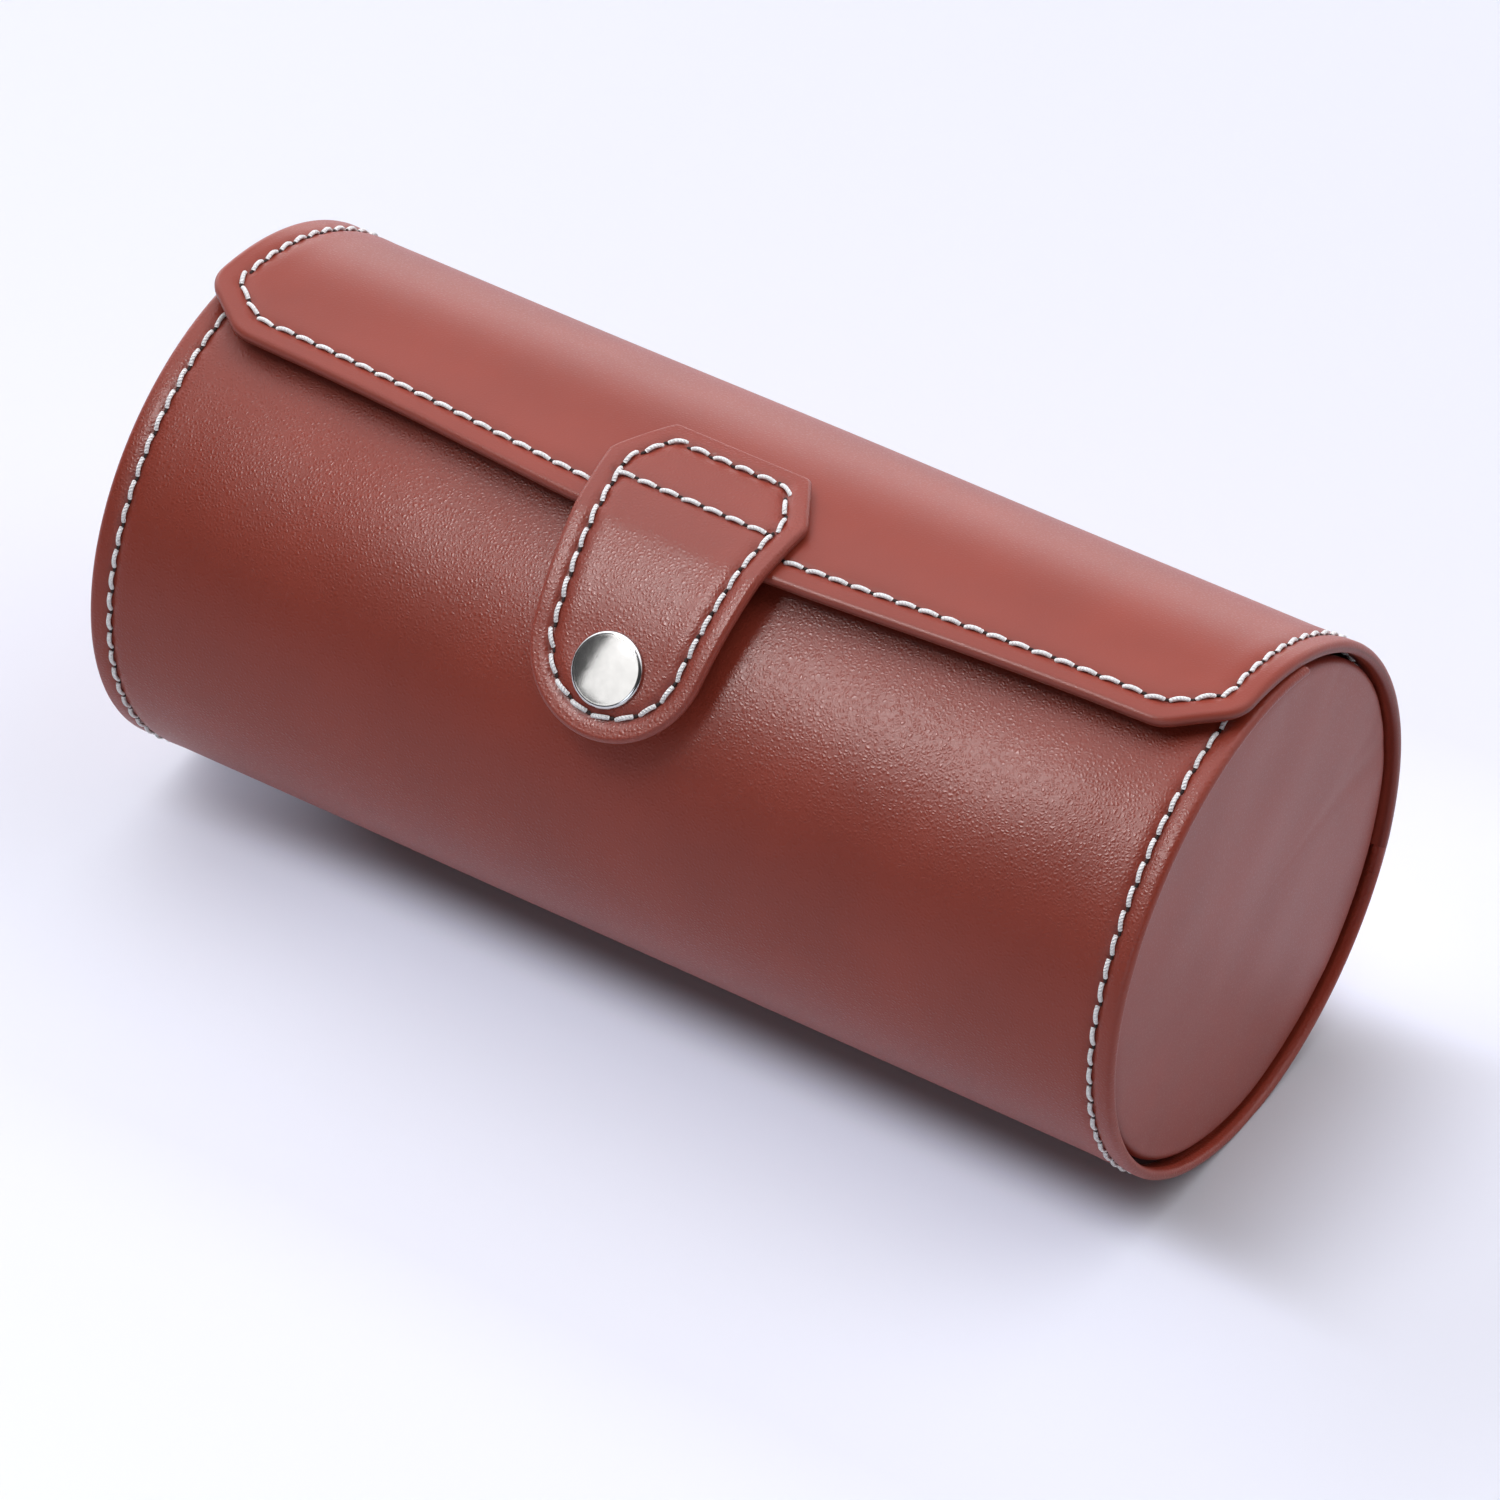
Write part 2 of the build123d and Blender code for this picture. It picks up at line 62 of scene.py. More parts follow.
# Distances from an edge at which a leather sheet has a row of points
EDGE_STEPS = (
    0, 0.03, 0.12, 0.28, 0.5, 0.75, 1.05, 1.4, 1.9, 2.5, 3.1, 3.7, 4.2, 4.7, 5.3, 6.0, 7.0
)


def measure(label, about, default):
    """Length or angle that a user may change."""
    return FloatProperty(name=label, description=about, default=default)


def tone(label, about, default):
    """Colour that a user may change."""
    return FloatVectorProperty(
        name=label, description=about, subtype="COLOR", size=3, default=default
    )


class RollSizes(bpy.types.PropertyGroup):
    """Sizes of the roll that a user may change"""

    radius: measure("Tube Radius", "Outer radius of the leather tube, mm", 46.0)
    seat_depth: measure("Seat Depth", "How far the tube is pressed flat at the bottom, mm", 0.4)
    half_length: measure("Half Length", "From the middle to a rim, mm", 100.0)
    lip_angle: measure("Lip Angle", "Where the front wall ends under the flap, degrees", 105.5)
    hinge_angle: measure("Hinge Angle", "Where the leather bends at the back, degrees", 205.0)
    hinge_width: measure("Hinge Width", "Leather without board at the hinge, mm", 5.0)
    cover: measure("Leather", "Leather thickness, mm", 1.0)
    lining: measure("Lining", "Lining thickness, mm", 0.8)
    board: measure("Board", "Thickness of the tube's board, mm", 2.2)
    flap_end_gap: measure("Flap End Gap", "How far the flap stops short of a rim, mm", 0.7)
    flap_rise: measure("Flap Rise", "How much larger the flap's circle is than the tube, mm", 4.6)
    flap_rise_angle: measure("Flap Rise Angle", "Where the flap starts to leave the tube", 165.0)
    flap_edge_angle: measure("Flap Edge Angle", "Where the flap's front edge lies, degrees", 66.8)
    snap_angle: measure("Snap Angle", "Where the snap sits on the front, degrees", 40.7)
    tab_standoff: measure("Tab Standoff", "Tab's underside over the tube at the snap, mm", 3.2)
    tab_cover: measure("Tab Leather", "Thickness, mm", 1.2)
    tab_backing: measure("Tab Backing", "Thickness, mm", 0.9)
    stitch_pitch: measure("Stitch Pitch", "From one stitch to the next, mm", 4.1)
    stitch_length: measure("Stitch Length", "Visible length of a stitch, mm", 3.0)
    thread: measure("Thread", "Thickness of the thread, mm", 0.8)
    seed: IntProperty(name="Seed", description="Seed of the stitches' small slants", default=4)


class RollColours(bpy.types.PropertyGroup):
    """Colours of the roll"""

    leather: tone("Leather", "Reddish brown of the leather", (0.285, 0.0395, 0.02))
    # Paler turned edges: part wear, part painted highlight
    leather_edge_wear_sheen: tone("Leather Edge Wear And Sheen", "Paler leather where it is turned", (0.3, 0.062, 0.042))
    thread: tone("Thread", "Off-white sewing thread", (0.98, 0.96, 0.94))
    suede: tone("Suede", "Sand-coloured lining and cushions", (0.4, 0.28, 0.18))
    steel: tone("Steel", "Polished steel of the snap", (0.6, 0.59, 0.58))


def direction(angle):
    """Outward direction (y, z) at an angle round the tube."""
    a = np.radians(angle)
    return np.stack([-np.cos(a), np.sin(a)], -1)


TAB_CREASE_RADIUS, TAB_DRAPE_RADIUS = 8.0, 50.0


class Plan:
    """Places that follow from the sizes."""

    def __init__(self):
        s = bpy.context.scene.roll_sizes
        self.radius = s.radius
        self.axis = s.radius - s.seat_depth
        self.half = s.half_length
        self.lip = s.lip_angle
        half_hinge = math.degrees(s.hinge_width / 2 / s.radius)
        self.body_back = s.hinge_angle - 360 + half_hinge
        self.flap_back = s.hinge_angle - half_hinge
        self.cover = s.cover
        self.board_inner = s.radius - s.cover - s.board
        self.lining = s.lining
        self.pitch = s.stitch_pitch
        # Flap: a circle a little larger than the tube, tangent to it at the back
        self.flap_half = s.half_length - s.flap_end_gap
        self.flap_radius = s.radius + s.flap_rise
        self.rise_angle = s.flap_rise_angle
        self.flap_centre = -s.flap_rise * direction(s.flap_rise_angle)
        turn = math.radians(s.flap_rise_angle - s.flap_edge_angle)
        reach = math.sqrt(self.flap_radius**2 - (s.flap_rise * math.sin(turn)) ** 2)
        self.edge_radius = reach - s.flap_rise * math.cos(turn)
        self.flap_edge = self.edge_radius * direction(s.flap_edge_angle)
        self.edge_facing = math.degrees(
            math.acos((self.flap_centre[0] - self.flap_edge[0]) / self.flap_radius)
        )
        self.rise_length = self.flap_radius * math.radians(self.rise_angle - self.edge_facing)
        self.flap_length = self.rise_length + s.radius * math.radians(
            self.flap_back - self.rise_angle
        )
        # Tab: on the flap, over its edge, along a long arc and straight past the snap
        self.snap_angle = s.snap_angle
        self.tab_level = s.radius + s.tab_standoff
        self.tab_backing = s.tab_backing
        self.tab_top = s.tab_backing + s.tab_cover
        crease, drape = TAB_CREASE_RADIUS, TAB_DRAPE_RADIUS
        edge_level = self.edge_radius * math.cos(math.radians(s.flap_edge_angle - s.snap_angle))
        bend = math.radians(self.edge_facing - s.snap_angle)
        drape_bend = math.acos(
            (edge_level - crease * math.cos(bend) + drape - self.tab_level) / (drape - crease)
        )
        self.drape_facing = s.snap_angle + math.degrees(drape_bend)
        self.crease_centre = self.flap_edge - crease * direction(self.edge_facing)
        drape_start = self.crease_centre + crease * direction(self.drape_facing)
        self.drape_centre = drape_start - drape * direction(self.drape_facing)
        up_strap = direction(s.snap_angle - 90) * -1
        straight_end = self.drape_centre + drape * direction(s.snap_angle)
        self.tab_straight = float(straight_end @ up_strap)
        self.tab_drape = self.tab_straight + drape * drape_bend
        self.tab_crease = self.tab_drape + crease * (bend - drape_bend)


# Places on the leather


def in_space(x, flat):
    """Points (x, y, z) from places along the roll and in its cross-section."""
    x = np.broadcast_to(x, flat.shape[:-1])
    return np.concatenate([x[..., None], flat], -1) + (0, 0, plan.axis)


def tube_place(x, down, height):
    """Point over the tube's surface, at a length down the front from the lip. The seat
    flattens what would lie under the table."""
    x, down, height = np.broadcast_arrays(x, down, height)
    angle = plan.lip - np.degrees(down / plan.radius)
    points = in_space(x, (plan.radius + height)[..., None] * direction(angle))
    points[..., 2] = np.maximum(points[..., 2], np.minimum(height, 0) * -0.5)
    return points


# The flap's left end is stretched past the rim at the front, and both ends reach the rim
# at the back. The stretch grows along the outer part of each half.
STRETCH_FROM, STRETCH_OVER = 50, 49
LEFT_STRETCH, LEFT_STRETCH_BACK = 1.1, 110
BACK_REACH_FROM, BACK_REACH_OVER = 60, 50


def flap_place(x, back, height):
    """Point over the flap's outer face, at a length back from its front edge."""
    x, back, height = np.broadcast_arrays(x, back, height)
    ends = np.clip((np.abs(x) - STRETCH_FROM) / STRETCH_OVER, 0, 1) ** 2
    x = x - LEFT_STRETCH * ends * (x < 0) * np.clip(1 - back / LEFT_STRETCH_BACK, 0, 1)
    reach = ends * np.clip((back - BACK_REACH_FROM) / BACK_REACH_OVER, 0, 1)
    x = x + np.sign(x) * (plan.half - plan.flap_half) * reach
    on_rise = plan.edge_facing + np.degrees(back / plan.flap_radius)
    on_tube = plan.rise_angle + np.degrees((back - plan.rise_length) / plan.radius)
    rising = back < plan.rise_length
    facing = np.where(rising, on_rise, on_tube)
    centre = np.where(rising[..., None], plan.flap_centre, (0.0, 0.0))
    radius = np.where(rising, plan.flap_radius, plan.radius) + height
    return in_space(x, centre + radius[..., None] * direction(facing))


def tab_place(x, up, height):
    """Point over the tab's underside, at a length up the strap from the snap."""
    x, up, height = np.broadcast_arrays(x, up, height)
    stretches = (
        (plan.tab_straight, plan.drape_centre, TAB_DRAPE_RADIUS, plan.snap_angle),
        (plan.tab_drape, plan.crease_centre, TAB_CREASE_RADIUS, plan.drape_facing),
        (plan.tab_crease, plan.flap_centre, plan.flap_radius, plan.edge_facing),
    )
    along = direction(plan.snap_angle - 90) * -1
    out = direction(plan.snap_angle)
    flat = up[..., None] * along + (plan.tab_level + height)[..., None] * out
    for start, centre, radius, facing in stretches:
        angle = facing + np.degrees((up - start) / radius)
        bent = centre + (radius + height)[..., None] * direction(angle)
        flat = np.where((up > start)[..., None], bent, flat)
    return in_space(x, flat)


def facing_of(place, x, along, height):
    """Outward direction of a surface function at points on it."""
    up = place(x, along, height - 4.0) - place(x, along, height - 5.0)
    return up / np.linalg.norm(up, axis=-1, keepdims=True)


def bend_between(place, *along):
    """Two points between which a piece bends, in metres."""
    return [Vector(place(0.0, at, 0.0)) * MM for at in along]


# Outlines laid flat


def rounded(corners, radii, step=0.6):
    """Open run of points through corners, each rounded by its radius."""
    corners = np.array(corners, float)
    run = [corners[0]]
    for before, corner, after, radius in zip(corners, corners[1:], corners[2:], radii):
        a = (before - corner) / np.linalg.norm(before - corner)
        b = (after - corner) / np.linalg.norm(after - corner)
        half = math.acos(np.clip(a @ b, -1, 1)) / 2
        reach = radius / math.tan(half)
        centre = corner + (a + b) / np.linalg.norm(a + b) * radius / math.sin(half)
        start, end = corner + a * reach - centre, corner + b * reach - centre
        sweep = math.pi - 2 * half
        sign = np.sign(start[0] * end[1] - start[1] * end[0])
        for t in np.linspace(0, sweep, max(3, int(sweep * radius / step) + 2)):
            c, k = math.cos(t), math.sin(t) * sign
            turned = (c * start[0] - k * start[1], k * start[0] + c * start[1])
            run.append(centre + turned)
    run.append(corners[-1])
    return np.array(run)


def length_of(run):
    """Length of a run of points."""
    return np.linalg.norm(np.diff(run, axis=0), axis=1).sum()


def even(run, step):
    """The same run of points, evenly spaced."""
    lengths = np.concatenate([[0], np.cumsum(np.linalg.norm(np.diff(run, axis=0), axis=1))])
    count = max(2, int(round(lengths[-1] / step)) + 1)
    at = np.linspace(0, lengths[-1], count)
    return np.stack([np.interp(at, lengths, run[:, k]) for k in range(run.shape[1])], -1)


def moved_in(corners, inset):
    """Corners of a closed outline, given counter-clockwise, with every side moved in."""
    corners = np.array(corners, float)
    after = np.roll(corners, -1, 0)
    sides = after - corners
    inward = np.stack([-sides[:, 1], sides[:, 0]], -1)
    inward /= np.linalg.norm(inward, axis=1, keepdims=True)
    moved = []
    for k in range(len(corners)):
        a, b = inward[k - 1], inward[k]
        moved.append(corners[k] + (a + b) * inset / (1 + a @ b))
    return np.array(moved)


FLAP_CORNER_ALONG, FLAP_CORNER_UP, FLAP_CORNER_ROUND = 10.5, 8.3, 7.0
FLAP_BOW, FLAP_BOW_WIDTH = 4.6, 54.6


def edge_bow(x):
    """How far the flap's front edge lies back from its middle, which hangs lowest."""
    return FLAP_BOW * (1 - math.exp(-((x / FLAP_BOW_WIDTH) ** 2)))


def flap_outline(inset):
    """Left side, front edge and right side of the flap, as points (x, back)."""
    far = plan.flap_length
    half = plan.flap_half
    corner = half - FLAP_CORNER_ALONG
    front = [(x, edge_bow(x)) for x in np.linspace(-corner, corner, 15)]
    end_up = edge_bow(corner) + FLAP_CORNER_UP
    corners = moved_in([(-half, far), (-half, end_up), *front, (half, end_up), (half, far)], inset)
    corners[0][1] = corners[-1][1] = far
    soft = max(FLAP_CORNER_ROUND - inset, 1.5)
    return rounded(corners, [soft] * 2 + [200.0] * 13 + [soft] * 2)


TAB_END_RADIUS, TAB_BEYOND_SNAP = 16.0, 11.5
TAB_WIDEST_HALF, TAB_WIDEST_UP = 19.1, 34.0
TAB_TOP_HALF, TAB_TOP_UP = 13.0, 44.3
TAB_CROSS_UP = 30.0


def tab_outline(inset):
    """Closed outline of the tab, as points (x, up), from the left of its round end."""
    end_centre = TAB_END_RADIUS - TAB_BEYOND_SNAP
    rise = TAB_WIDEST_UP - end_centre
    span = math.hypot(rise, TAB_WIDEST_HALF)
    touch = math.acos(TAB_END_RADIUS / span) - math.acos(TAB_WIDEST_HALF / span)
    side = (TAB_END_RADIUS * math.cos(touch), end_centre - TAB_END_RADIUS * math.sin(touch))
    corners = moved_in(
        [
            (-side[0], side[1]), side, (TAB_WIDEST_HALF, TAB_WIDEST_UP), (TAB_TOP_HALF, TAB_TOP_UP),
            (-TAB_TOP_HALF, TAB_TOP_UP), (-TAB_WIDEST_HALF, TAB_WIDEST_UP),
        ],
        inset,
    )
    angles = np.linspace(math.pi + touch, 2 * math.pi - touch, 60)
    end = np.stack([np.cos(angles), np.sin(angles)], -1) * (TAB_END_RADIUS - inset)
    end[:, 1] += end_centre
    soft = max(1.6 - inset / 2, 0.8)
    top = rounded([end[-1], *corners[2:6], end[0]], [soft] * 4)[1:-1]
    return np.concatenate([end, top, end[:1]])


def nearest(points, run):
    """Distance of flat points to a run of points, and how far along it they lie."""
    flat = points.reshape(-1, 2)
    a, b = run[:-1], run[1:]
    sides = b - a
    lengths = np.linalg.norm(sides, axis=1)
    starts = np.concatenate([[0], np.cumsum(lengths)[:-1]])
    best = np.full(len(flat), 1e9)
    along = np.zeros(len(flat))
    for k in range(len(a)):
        if lengths[k] < 1e-9:
            continue
        t = np.clip(((flat - a[k]) @ sides[k]) / lengths[k] ** 2, 0, 1)
        d = np.linalg.norm(flat - a[k] - t[:, None] * sides[k], axis=1)
        closer = d < best
        best = np.where(closer, d, best)
        along = np.where(closer, starts[k] + t * lengths[k], along)
    return best.reshape(points.shape[:-1]), along.reshape(points.shape[:-1])


# Shape of a leather sheet near its edges and its stitching


def edge_fall(distance, roundness):
    """How far a rounded edge has fallen below the sheet's face."""
    left = roundness - np.minimum(distance, roundness)
    return roundness - np.sqrt(np.maximum(roundness**2 - left**2, 0))


def hill(distance, width):
    """Smooth hill of height 1 that falls away over a width."""
    return np.exp(-((distance / width) ** 2))


def bead(distance, height, width, at=1.0):
    """Low ridge that a turned edge makes a little in from the edge."""
    return height * hill(distance - at, width)


def puffed(distance, inset, height):
    """Swell of the leather on both sides of a row of stitches beside an edge."""
    outer = np.sin(np.pi * np.clip(distance / inset, 0, 1))
    return height * (outer + 0.5 * hill(distance - inset - 2.4, 1.5))


def seam_dent(distance, holes, depth):
    """Groove that the thread pulls into the leather, deepest at the needle holes."""
    return -depth * (hill(distance, 0.75) * (0.55 + 0.45 * holes) + 0.3 * hill(distance, 1.9))


# Slow waves at the front: height, where one starts, wave length and middle
RIPPLES = ((0.14, -41, 34, -58), (0.27, 52, 36, 66))
RIPPLE_REACH, RIPPLE_ANGLE, RIPPLE_SPREAD = 30, 54, 22


def ripples(x, down):
    """Slow waves along the front, where the leather isn't quite tight on its board."""
    angle = plan.lip - np.degrees(down / plan.radius)
    total = 0
    for height, start, length, middle in RIPPLES:
        wave = np.sin(2 * np.pi * (start - x) / length)
        total = total + height * wave * np.exp(-(((x - middle) / RIPPLE_REACH) ** 4))
    return total * hill(angle - RIPPLE_ANGLE, RIPPLE_SPREAD)


def fitted_pitch(run):
    """Spacing near the stitch pitch that fits a whole number of stitches in a run."""
    length = length_of(run)
    return length / max(1, round(length / plan.pitch))


def waves(a, b, seed, height):
    """Slow unevenness of a leather face, from a few fixed waves."""
    picks = np.random.default_rng(seed)
    total = 0
    for _ in range(5):
        ka, kb = picks.uniform(-0.12, 0.12, 2)
        total = total + np.sin(a * ka + b * kb + picks.uniform(0, 6.3))
    return total * height / 5


# Meshes


def put_in(name, data):
    """New object in the scene."""
    thing = bpy.data.objects.new(name, data)
    bpy.context.collection.objects.link(thing)
    return thing


def new_object(name, points, faces, material, values=None):
    """Mesh object from points in millimetres, smooth shaded, with its values by point."""
    mesh = bpy.data.meshes.new(name)
    mesh.from_pydata((np.asarray(points) * MM).tolist(), [], [list(map(int, f)) for f in faces])
    for key, value in (values or {}).items():
        layer = mesh.attributes.new(key, "FLOAT", "POINT")
        layer.data.foreach_set("value", np.asarray(value, np.float32).ravel())
    mesh.materials.append(material)
    mesh.polygons.foreach_set("use_smooth", [True] * len(mesh.polygons))
    mesh.validate()
    return put_in(name, mesh)


def clean(thing, distance=0.0001):
    """Merges doubles in millimetres and makes the faces point outwards."""
    shape = bmesh.new()
    shape.from_mesh(thing.data)
    bmesh.ops.remove_doubles(shape, verts=shape.verts, dist=distance * MM)
    bmesh.ops.dissolve_degenerate(shape, dist=1e-8, edges=shape.edges)
    bmesh.ops.recalc_face_normals(shape, faces=shape.faces)
    shape.to_mesh(thing.data)
    shape.free()
    thing.data.set_sharp_from_angle(angle=math.radians(55))
    return thing


def quads(index, wrap=False):
    """Faces of a grid of point numbers, first side along X and second up the angle."""
    if wrap:
        index = np.concatenate([index, index[:, :1]], 1)
    a, b = index[:-1, :-1], index[1:, :-1]
    c, d = index[1:, 1:], index[:-1, 1:]
    return np.stack([a, b, c, d], -1).reshape(-1, 4)


def sheet(name, top, bottom, material, values):
    """Closed sheet from two grids of points that share their border, and its values over
    and under."""
    rows, columns = top.shape[:2]
    upper = np.arange(rows * columns).reshape(rows, columns)
    lower = upper.copy()
    inner = (rows - 2) * (columns - 2)
    lower[1:-1, 1:-1] = rows * columns + np.arange(inner).reshape(rows - 2, columns - 2)
    points = np.concatenate([top.reshape(-1, 3), bottom[1:-1, 1:-1].reshape(-1, 3)])
    faces = np.concatenate([quads(upper), quads(lower)[:, ::-1]])
    by_point = {
        key: np.concatenate([over.ravel(), under[1:-1, 1:-1].ravel()])
        for key, (over, under) in values.items()
    }
    return new_object(name, points, faces, material, by_point)


def rings(name, top, bottom, material, values):
    """Closed sheet from rings of points, outermost first, that share the outermost."""
    count, around = top.shape[:2]
    upper = np.arange(count * around).reshape(count, around)
    lower = upper.copy()
    lower[1:] += (count - 1) * around
    points = np.concatenate([top.reshape(-1, 3), bottom[1:].reshape(-1, 3)])
    faces = np.concatenate([quads(upper, True), quads(lower, True)[:, ::-1]])
    by_point = {
        key: np.concatenate([value.ravel(), value[1:].ravel()]) for key, value in values.items()
    }
    return clean(new_object(name, points, faces, material, by_point))


def lathe(name, profile, material, frame_of, turns=96):
    """Solid of revolution. The profile is points (radius, height), from the axis round
    to the axis again, and frame_of is its centre, two sides and its axis."""
    centre, side_a, side_b, axis = (np.asarray(v, float) for v in frame_of)
    angles = np.linspace(0, 2 * math.pi, turns, endpoint=False)
    profile = np.asarray(profile, float)
    ring = np.cos(angles)[:, None] * side_a + np.sin(angles)[:, None] * side_b
    points = centre + profile[:, None, :1] * ring + profile[:, None, 1:] * axis
    index = np.arange(len(profile) * turns).reshape(len(profile), turns)
    return clean(new_object(name, points.reshape(-1, 3), quads(index, True), material))


def steps(length, middle, fine=EDGE_STEPS, fine_end=EDGE_STEPS):
    """Places from 0 to a length, close together at both ends."""
    start, end = np.array(fine, float), length - np.array(fine_end, float)[::-1]
    gap = end[0] - start[-1]
    between = np.linspace(start[-1], end[0], max(2, int(round(gap / middle)) + 1))[1:-1]
    return np.concatenate([start, between, end])


BORDER = (np.s_[0], np.s_[-1], np.s_[:, 0], np.s_[:, -1])
# Widths of the paler turned edge, part wear and part painted highlight, and of the painted shade
# along the stitches
EDGE_WEAR_SHEEN_WIDTH, GROOVE_SHADE_WIDTH = 0.4, 0.6


def seams_in(flat, seams):
    """Dent that rows of stitches leave in a leather laid flat, and a mask of painted shade along
    them, darkest at the needle holes.
    """
    dent, groove_shade = np.zeros(flat.shape[:-1]), np.zeros(flat.shape[:-1])
    for run, depth in seams:
        distance, at = nearest(flat, run)
        holes = 0.5 + 0.5 * np.cos(2 * np.pi * at / fitted_pitch(run))
        dent = dent + seam_dent(distance, holes, depth)
        groove_shade = np.maximum(groove_shade, hill(distance, GROOVE_SHADE_WIDTH) * (0.3 + 0.7 * holes))
    return dent, groove_shade


def leather_sheet(
    name, place, x, along, thickness, finish, edge,
    soft=0.5, level=0.0, relief=0.0, seams=(), butt=(), folded=False,
):
    """Closed sheet of leather or lining laid on a surface function. Its free edges are
    rounded, its seams are dented and given painted shade, its sides named in butt are cut
    square, and the edge of a folded one gets painted shade: a dark line where its two
    layers meet and darker leather below it."""
    x, along, thickness = np.broadcast_arrays(x, along, thickness)
    fall = edge_fall(edge, soft)
    dent, groove_shade = seams_in(np.stack([x, along], -1), seams)
    top = level + relief - fall + dent
    low = np.minimum(level - thickness + fall, top - 0.05)
    face = top.copy()
    for where in BORDER:
        low[where] = top[where] = (low[where] + top[where]) / 2
    for where in butt:
        low[where][1:-1] = top[where][1:-1] = face[where][1:-1]
    under = groove_shade
    # Painted shade on a folded edge: a dark line where its two layers meet, and darker leather
    # under it
    if folded:
        groove_shade = np.maximum(groove_shade, np.where(edge < 0.01, 0.9, 0.0))
        under = np.maximum(groove_shade, np.where(edge < 1.2, 0.55, 0.0))
    # Paler turned edge: part wear, part painted highlight
    edge_wear_sheen = hill(edge, EDGE_WEAR_SHEEN_WIDTH)
    values = {"edge": (edge_wear_sheen, edge_wear_sheen * (under == groove_shade)), "groove_shade": (groove_shade, under)}
    return clean(sheet(name, place(x, along, top), place(x, along, low), finish, values))


# Materials

groups = {}
finishes = {}
# Painted shade: near-black of the needle holes and of the stitch grooves
HOLE_SHADE, HOLE_DEEPEST_SHADE = (0.03, 0.008, 0.006, 1), (0.015, 0.005, 0.004, 1)


class Nodes:
    """Node tree with short ways to add its usual nodes. All but add give a socket."""

    def __init__(self, tree):
        self.tree = tree

    def give(self, made, inputs):
        """Links or sets a node's inputs, by name or number."""
        for key, value in inputs.items():
            if isinstance(value, bpy.types.NodeSocket):
                self.tree.links.new(value, made.inputs[key])
            else:
                made.inputs[key].default_value = value

    def add(self, kind, inputs=None, **settings):
        made = self.tree.nodes.new(kind)
        for key, value in settings.items():
            setattr(made, key, value)
        self.give(made, inputs or {})
        return made

    def maths(self, operation, a, b=0.0, c=0.0):
        return self.add("ShaderNodeMath", {0: a, 1: b, 2: c}, operation=operation).outputs[0]

    def vector(self, operation, inputs):
        return self.add("ShaderNodeVectorMath", inputs, operation=operation).outputs[0]

    def noise(self, place, scale, detail, **more):
        inputs = {"Vector": place, "Scale": scale, "Detail": detail, **more}
        return self.add("ShaderNodeTexNoise", inputs).outputs[0]

    def remap(self, value, start, end, to_start=0.0, to_end=1.0, smooth=False):
        kind = "SMOOTHSTEP" if smooth else "LINEAR"
        inputs = {"Value": value, "From Min": start, "From Max": end}
        inputs.update({"To Min": to_start, "To Max": to_end})
        return self.add("ShaderNodeMapRange", inputs, interpolation_type=kind).outputs[0]

    def mix(self, share, first, second):
        inputs = {"Factor": share, 6: first, 7: second}
        return self.add("ShaderNodeMix", inputs, data_type="RGBA").outputs[2]

    def bump(self, height, depth):
        inputs = {"Height": height, "Distance": depth * MM, "Strength": 1.0}
        return self.add("ShaderNodeBump", inputs).outputs[0]

    def attribute(self, name):
        return self.add("ShaderNodeAttribute", attribute_name=name).outputs["Fac"]

    def group(self, name, inputs):
        return self.add("ShaderNodeGroup", inputs, node_tree=groups[name]).outputs


class Finish(Nodes):
    """New material, with its shader and object coordinates."""

    def __init__(self, name):
        self.material = bpy.data.materials.new(name)
        self.material.use_nodes = True
        super().__init__(self.material.node_tree)
        self.tree.nodes.clear()
        self.shader = self.add("ShaderNodeBsdfPrincipled")
        self.add("ShaderNodeOutputMaterial", {"Surface": self.shader.outputs[0]})
        self.place = self.add("ShaderNodeTexCoord").outputs["Object"]

    def drift(self, light, dark, patches=30.0):
        """Colour that changes slowly between two tones."""
        inputs = {"Vector": self.place, "Light Tone": light, "Dark Tone": dark}
        return self.group("drift", {**inputs, "Patches per Metre": patches})[0]

    def done(self, inputs):
        """The material, with its shader's inputs linked or set."""
        self.give(self.shader, inputs)
        return self.material


def shader_group(name, inputs):
    """New shader node group and what comes in. An input's default tells its kind: a value,
    a colour, or a vector where it is None."""
    tree = bpy.data.node_groups.new(name, "ShaderNodeTree")
    for label, default in inputs.items():
        kind = {type(None): "Vector", float: "Float", tuple: "Color"}[type(default)]
        socket = tree.interface.new_socket(label, in_out="INPUT", socket_type="NodeSocket" + kind)
        if default is not None:
            socket.default_value = default
    return Nodes(tree), tree.nodes.new("NodeGroupInput").outputs


def put_out(nodes, outputs):
    """The group's tree, with its values and colours as named outputs."""
    for label, made in outputs.items():
        kind = "NodeSocketColor" if made.type == "RGBA" else "NodeSocketFloat"
        nodes.tree.interface.new_socket(label, in_out="OUTPUT", socket_type=kind)
    nodes.add("NodeGroupOutput", outputs)
    return nodes.tree


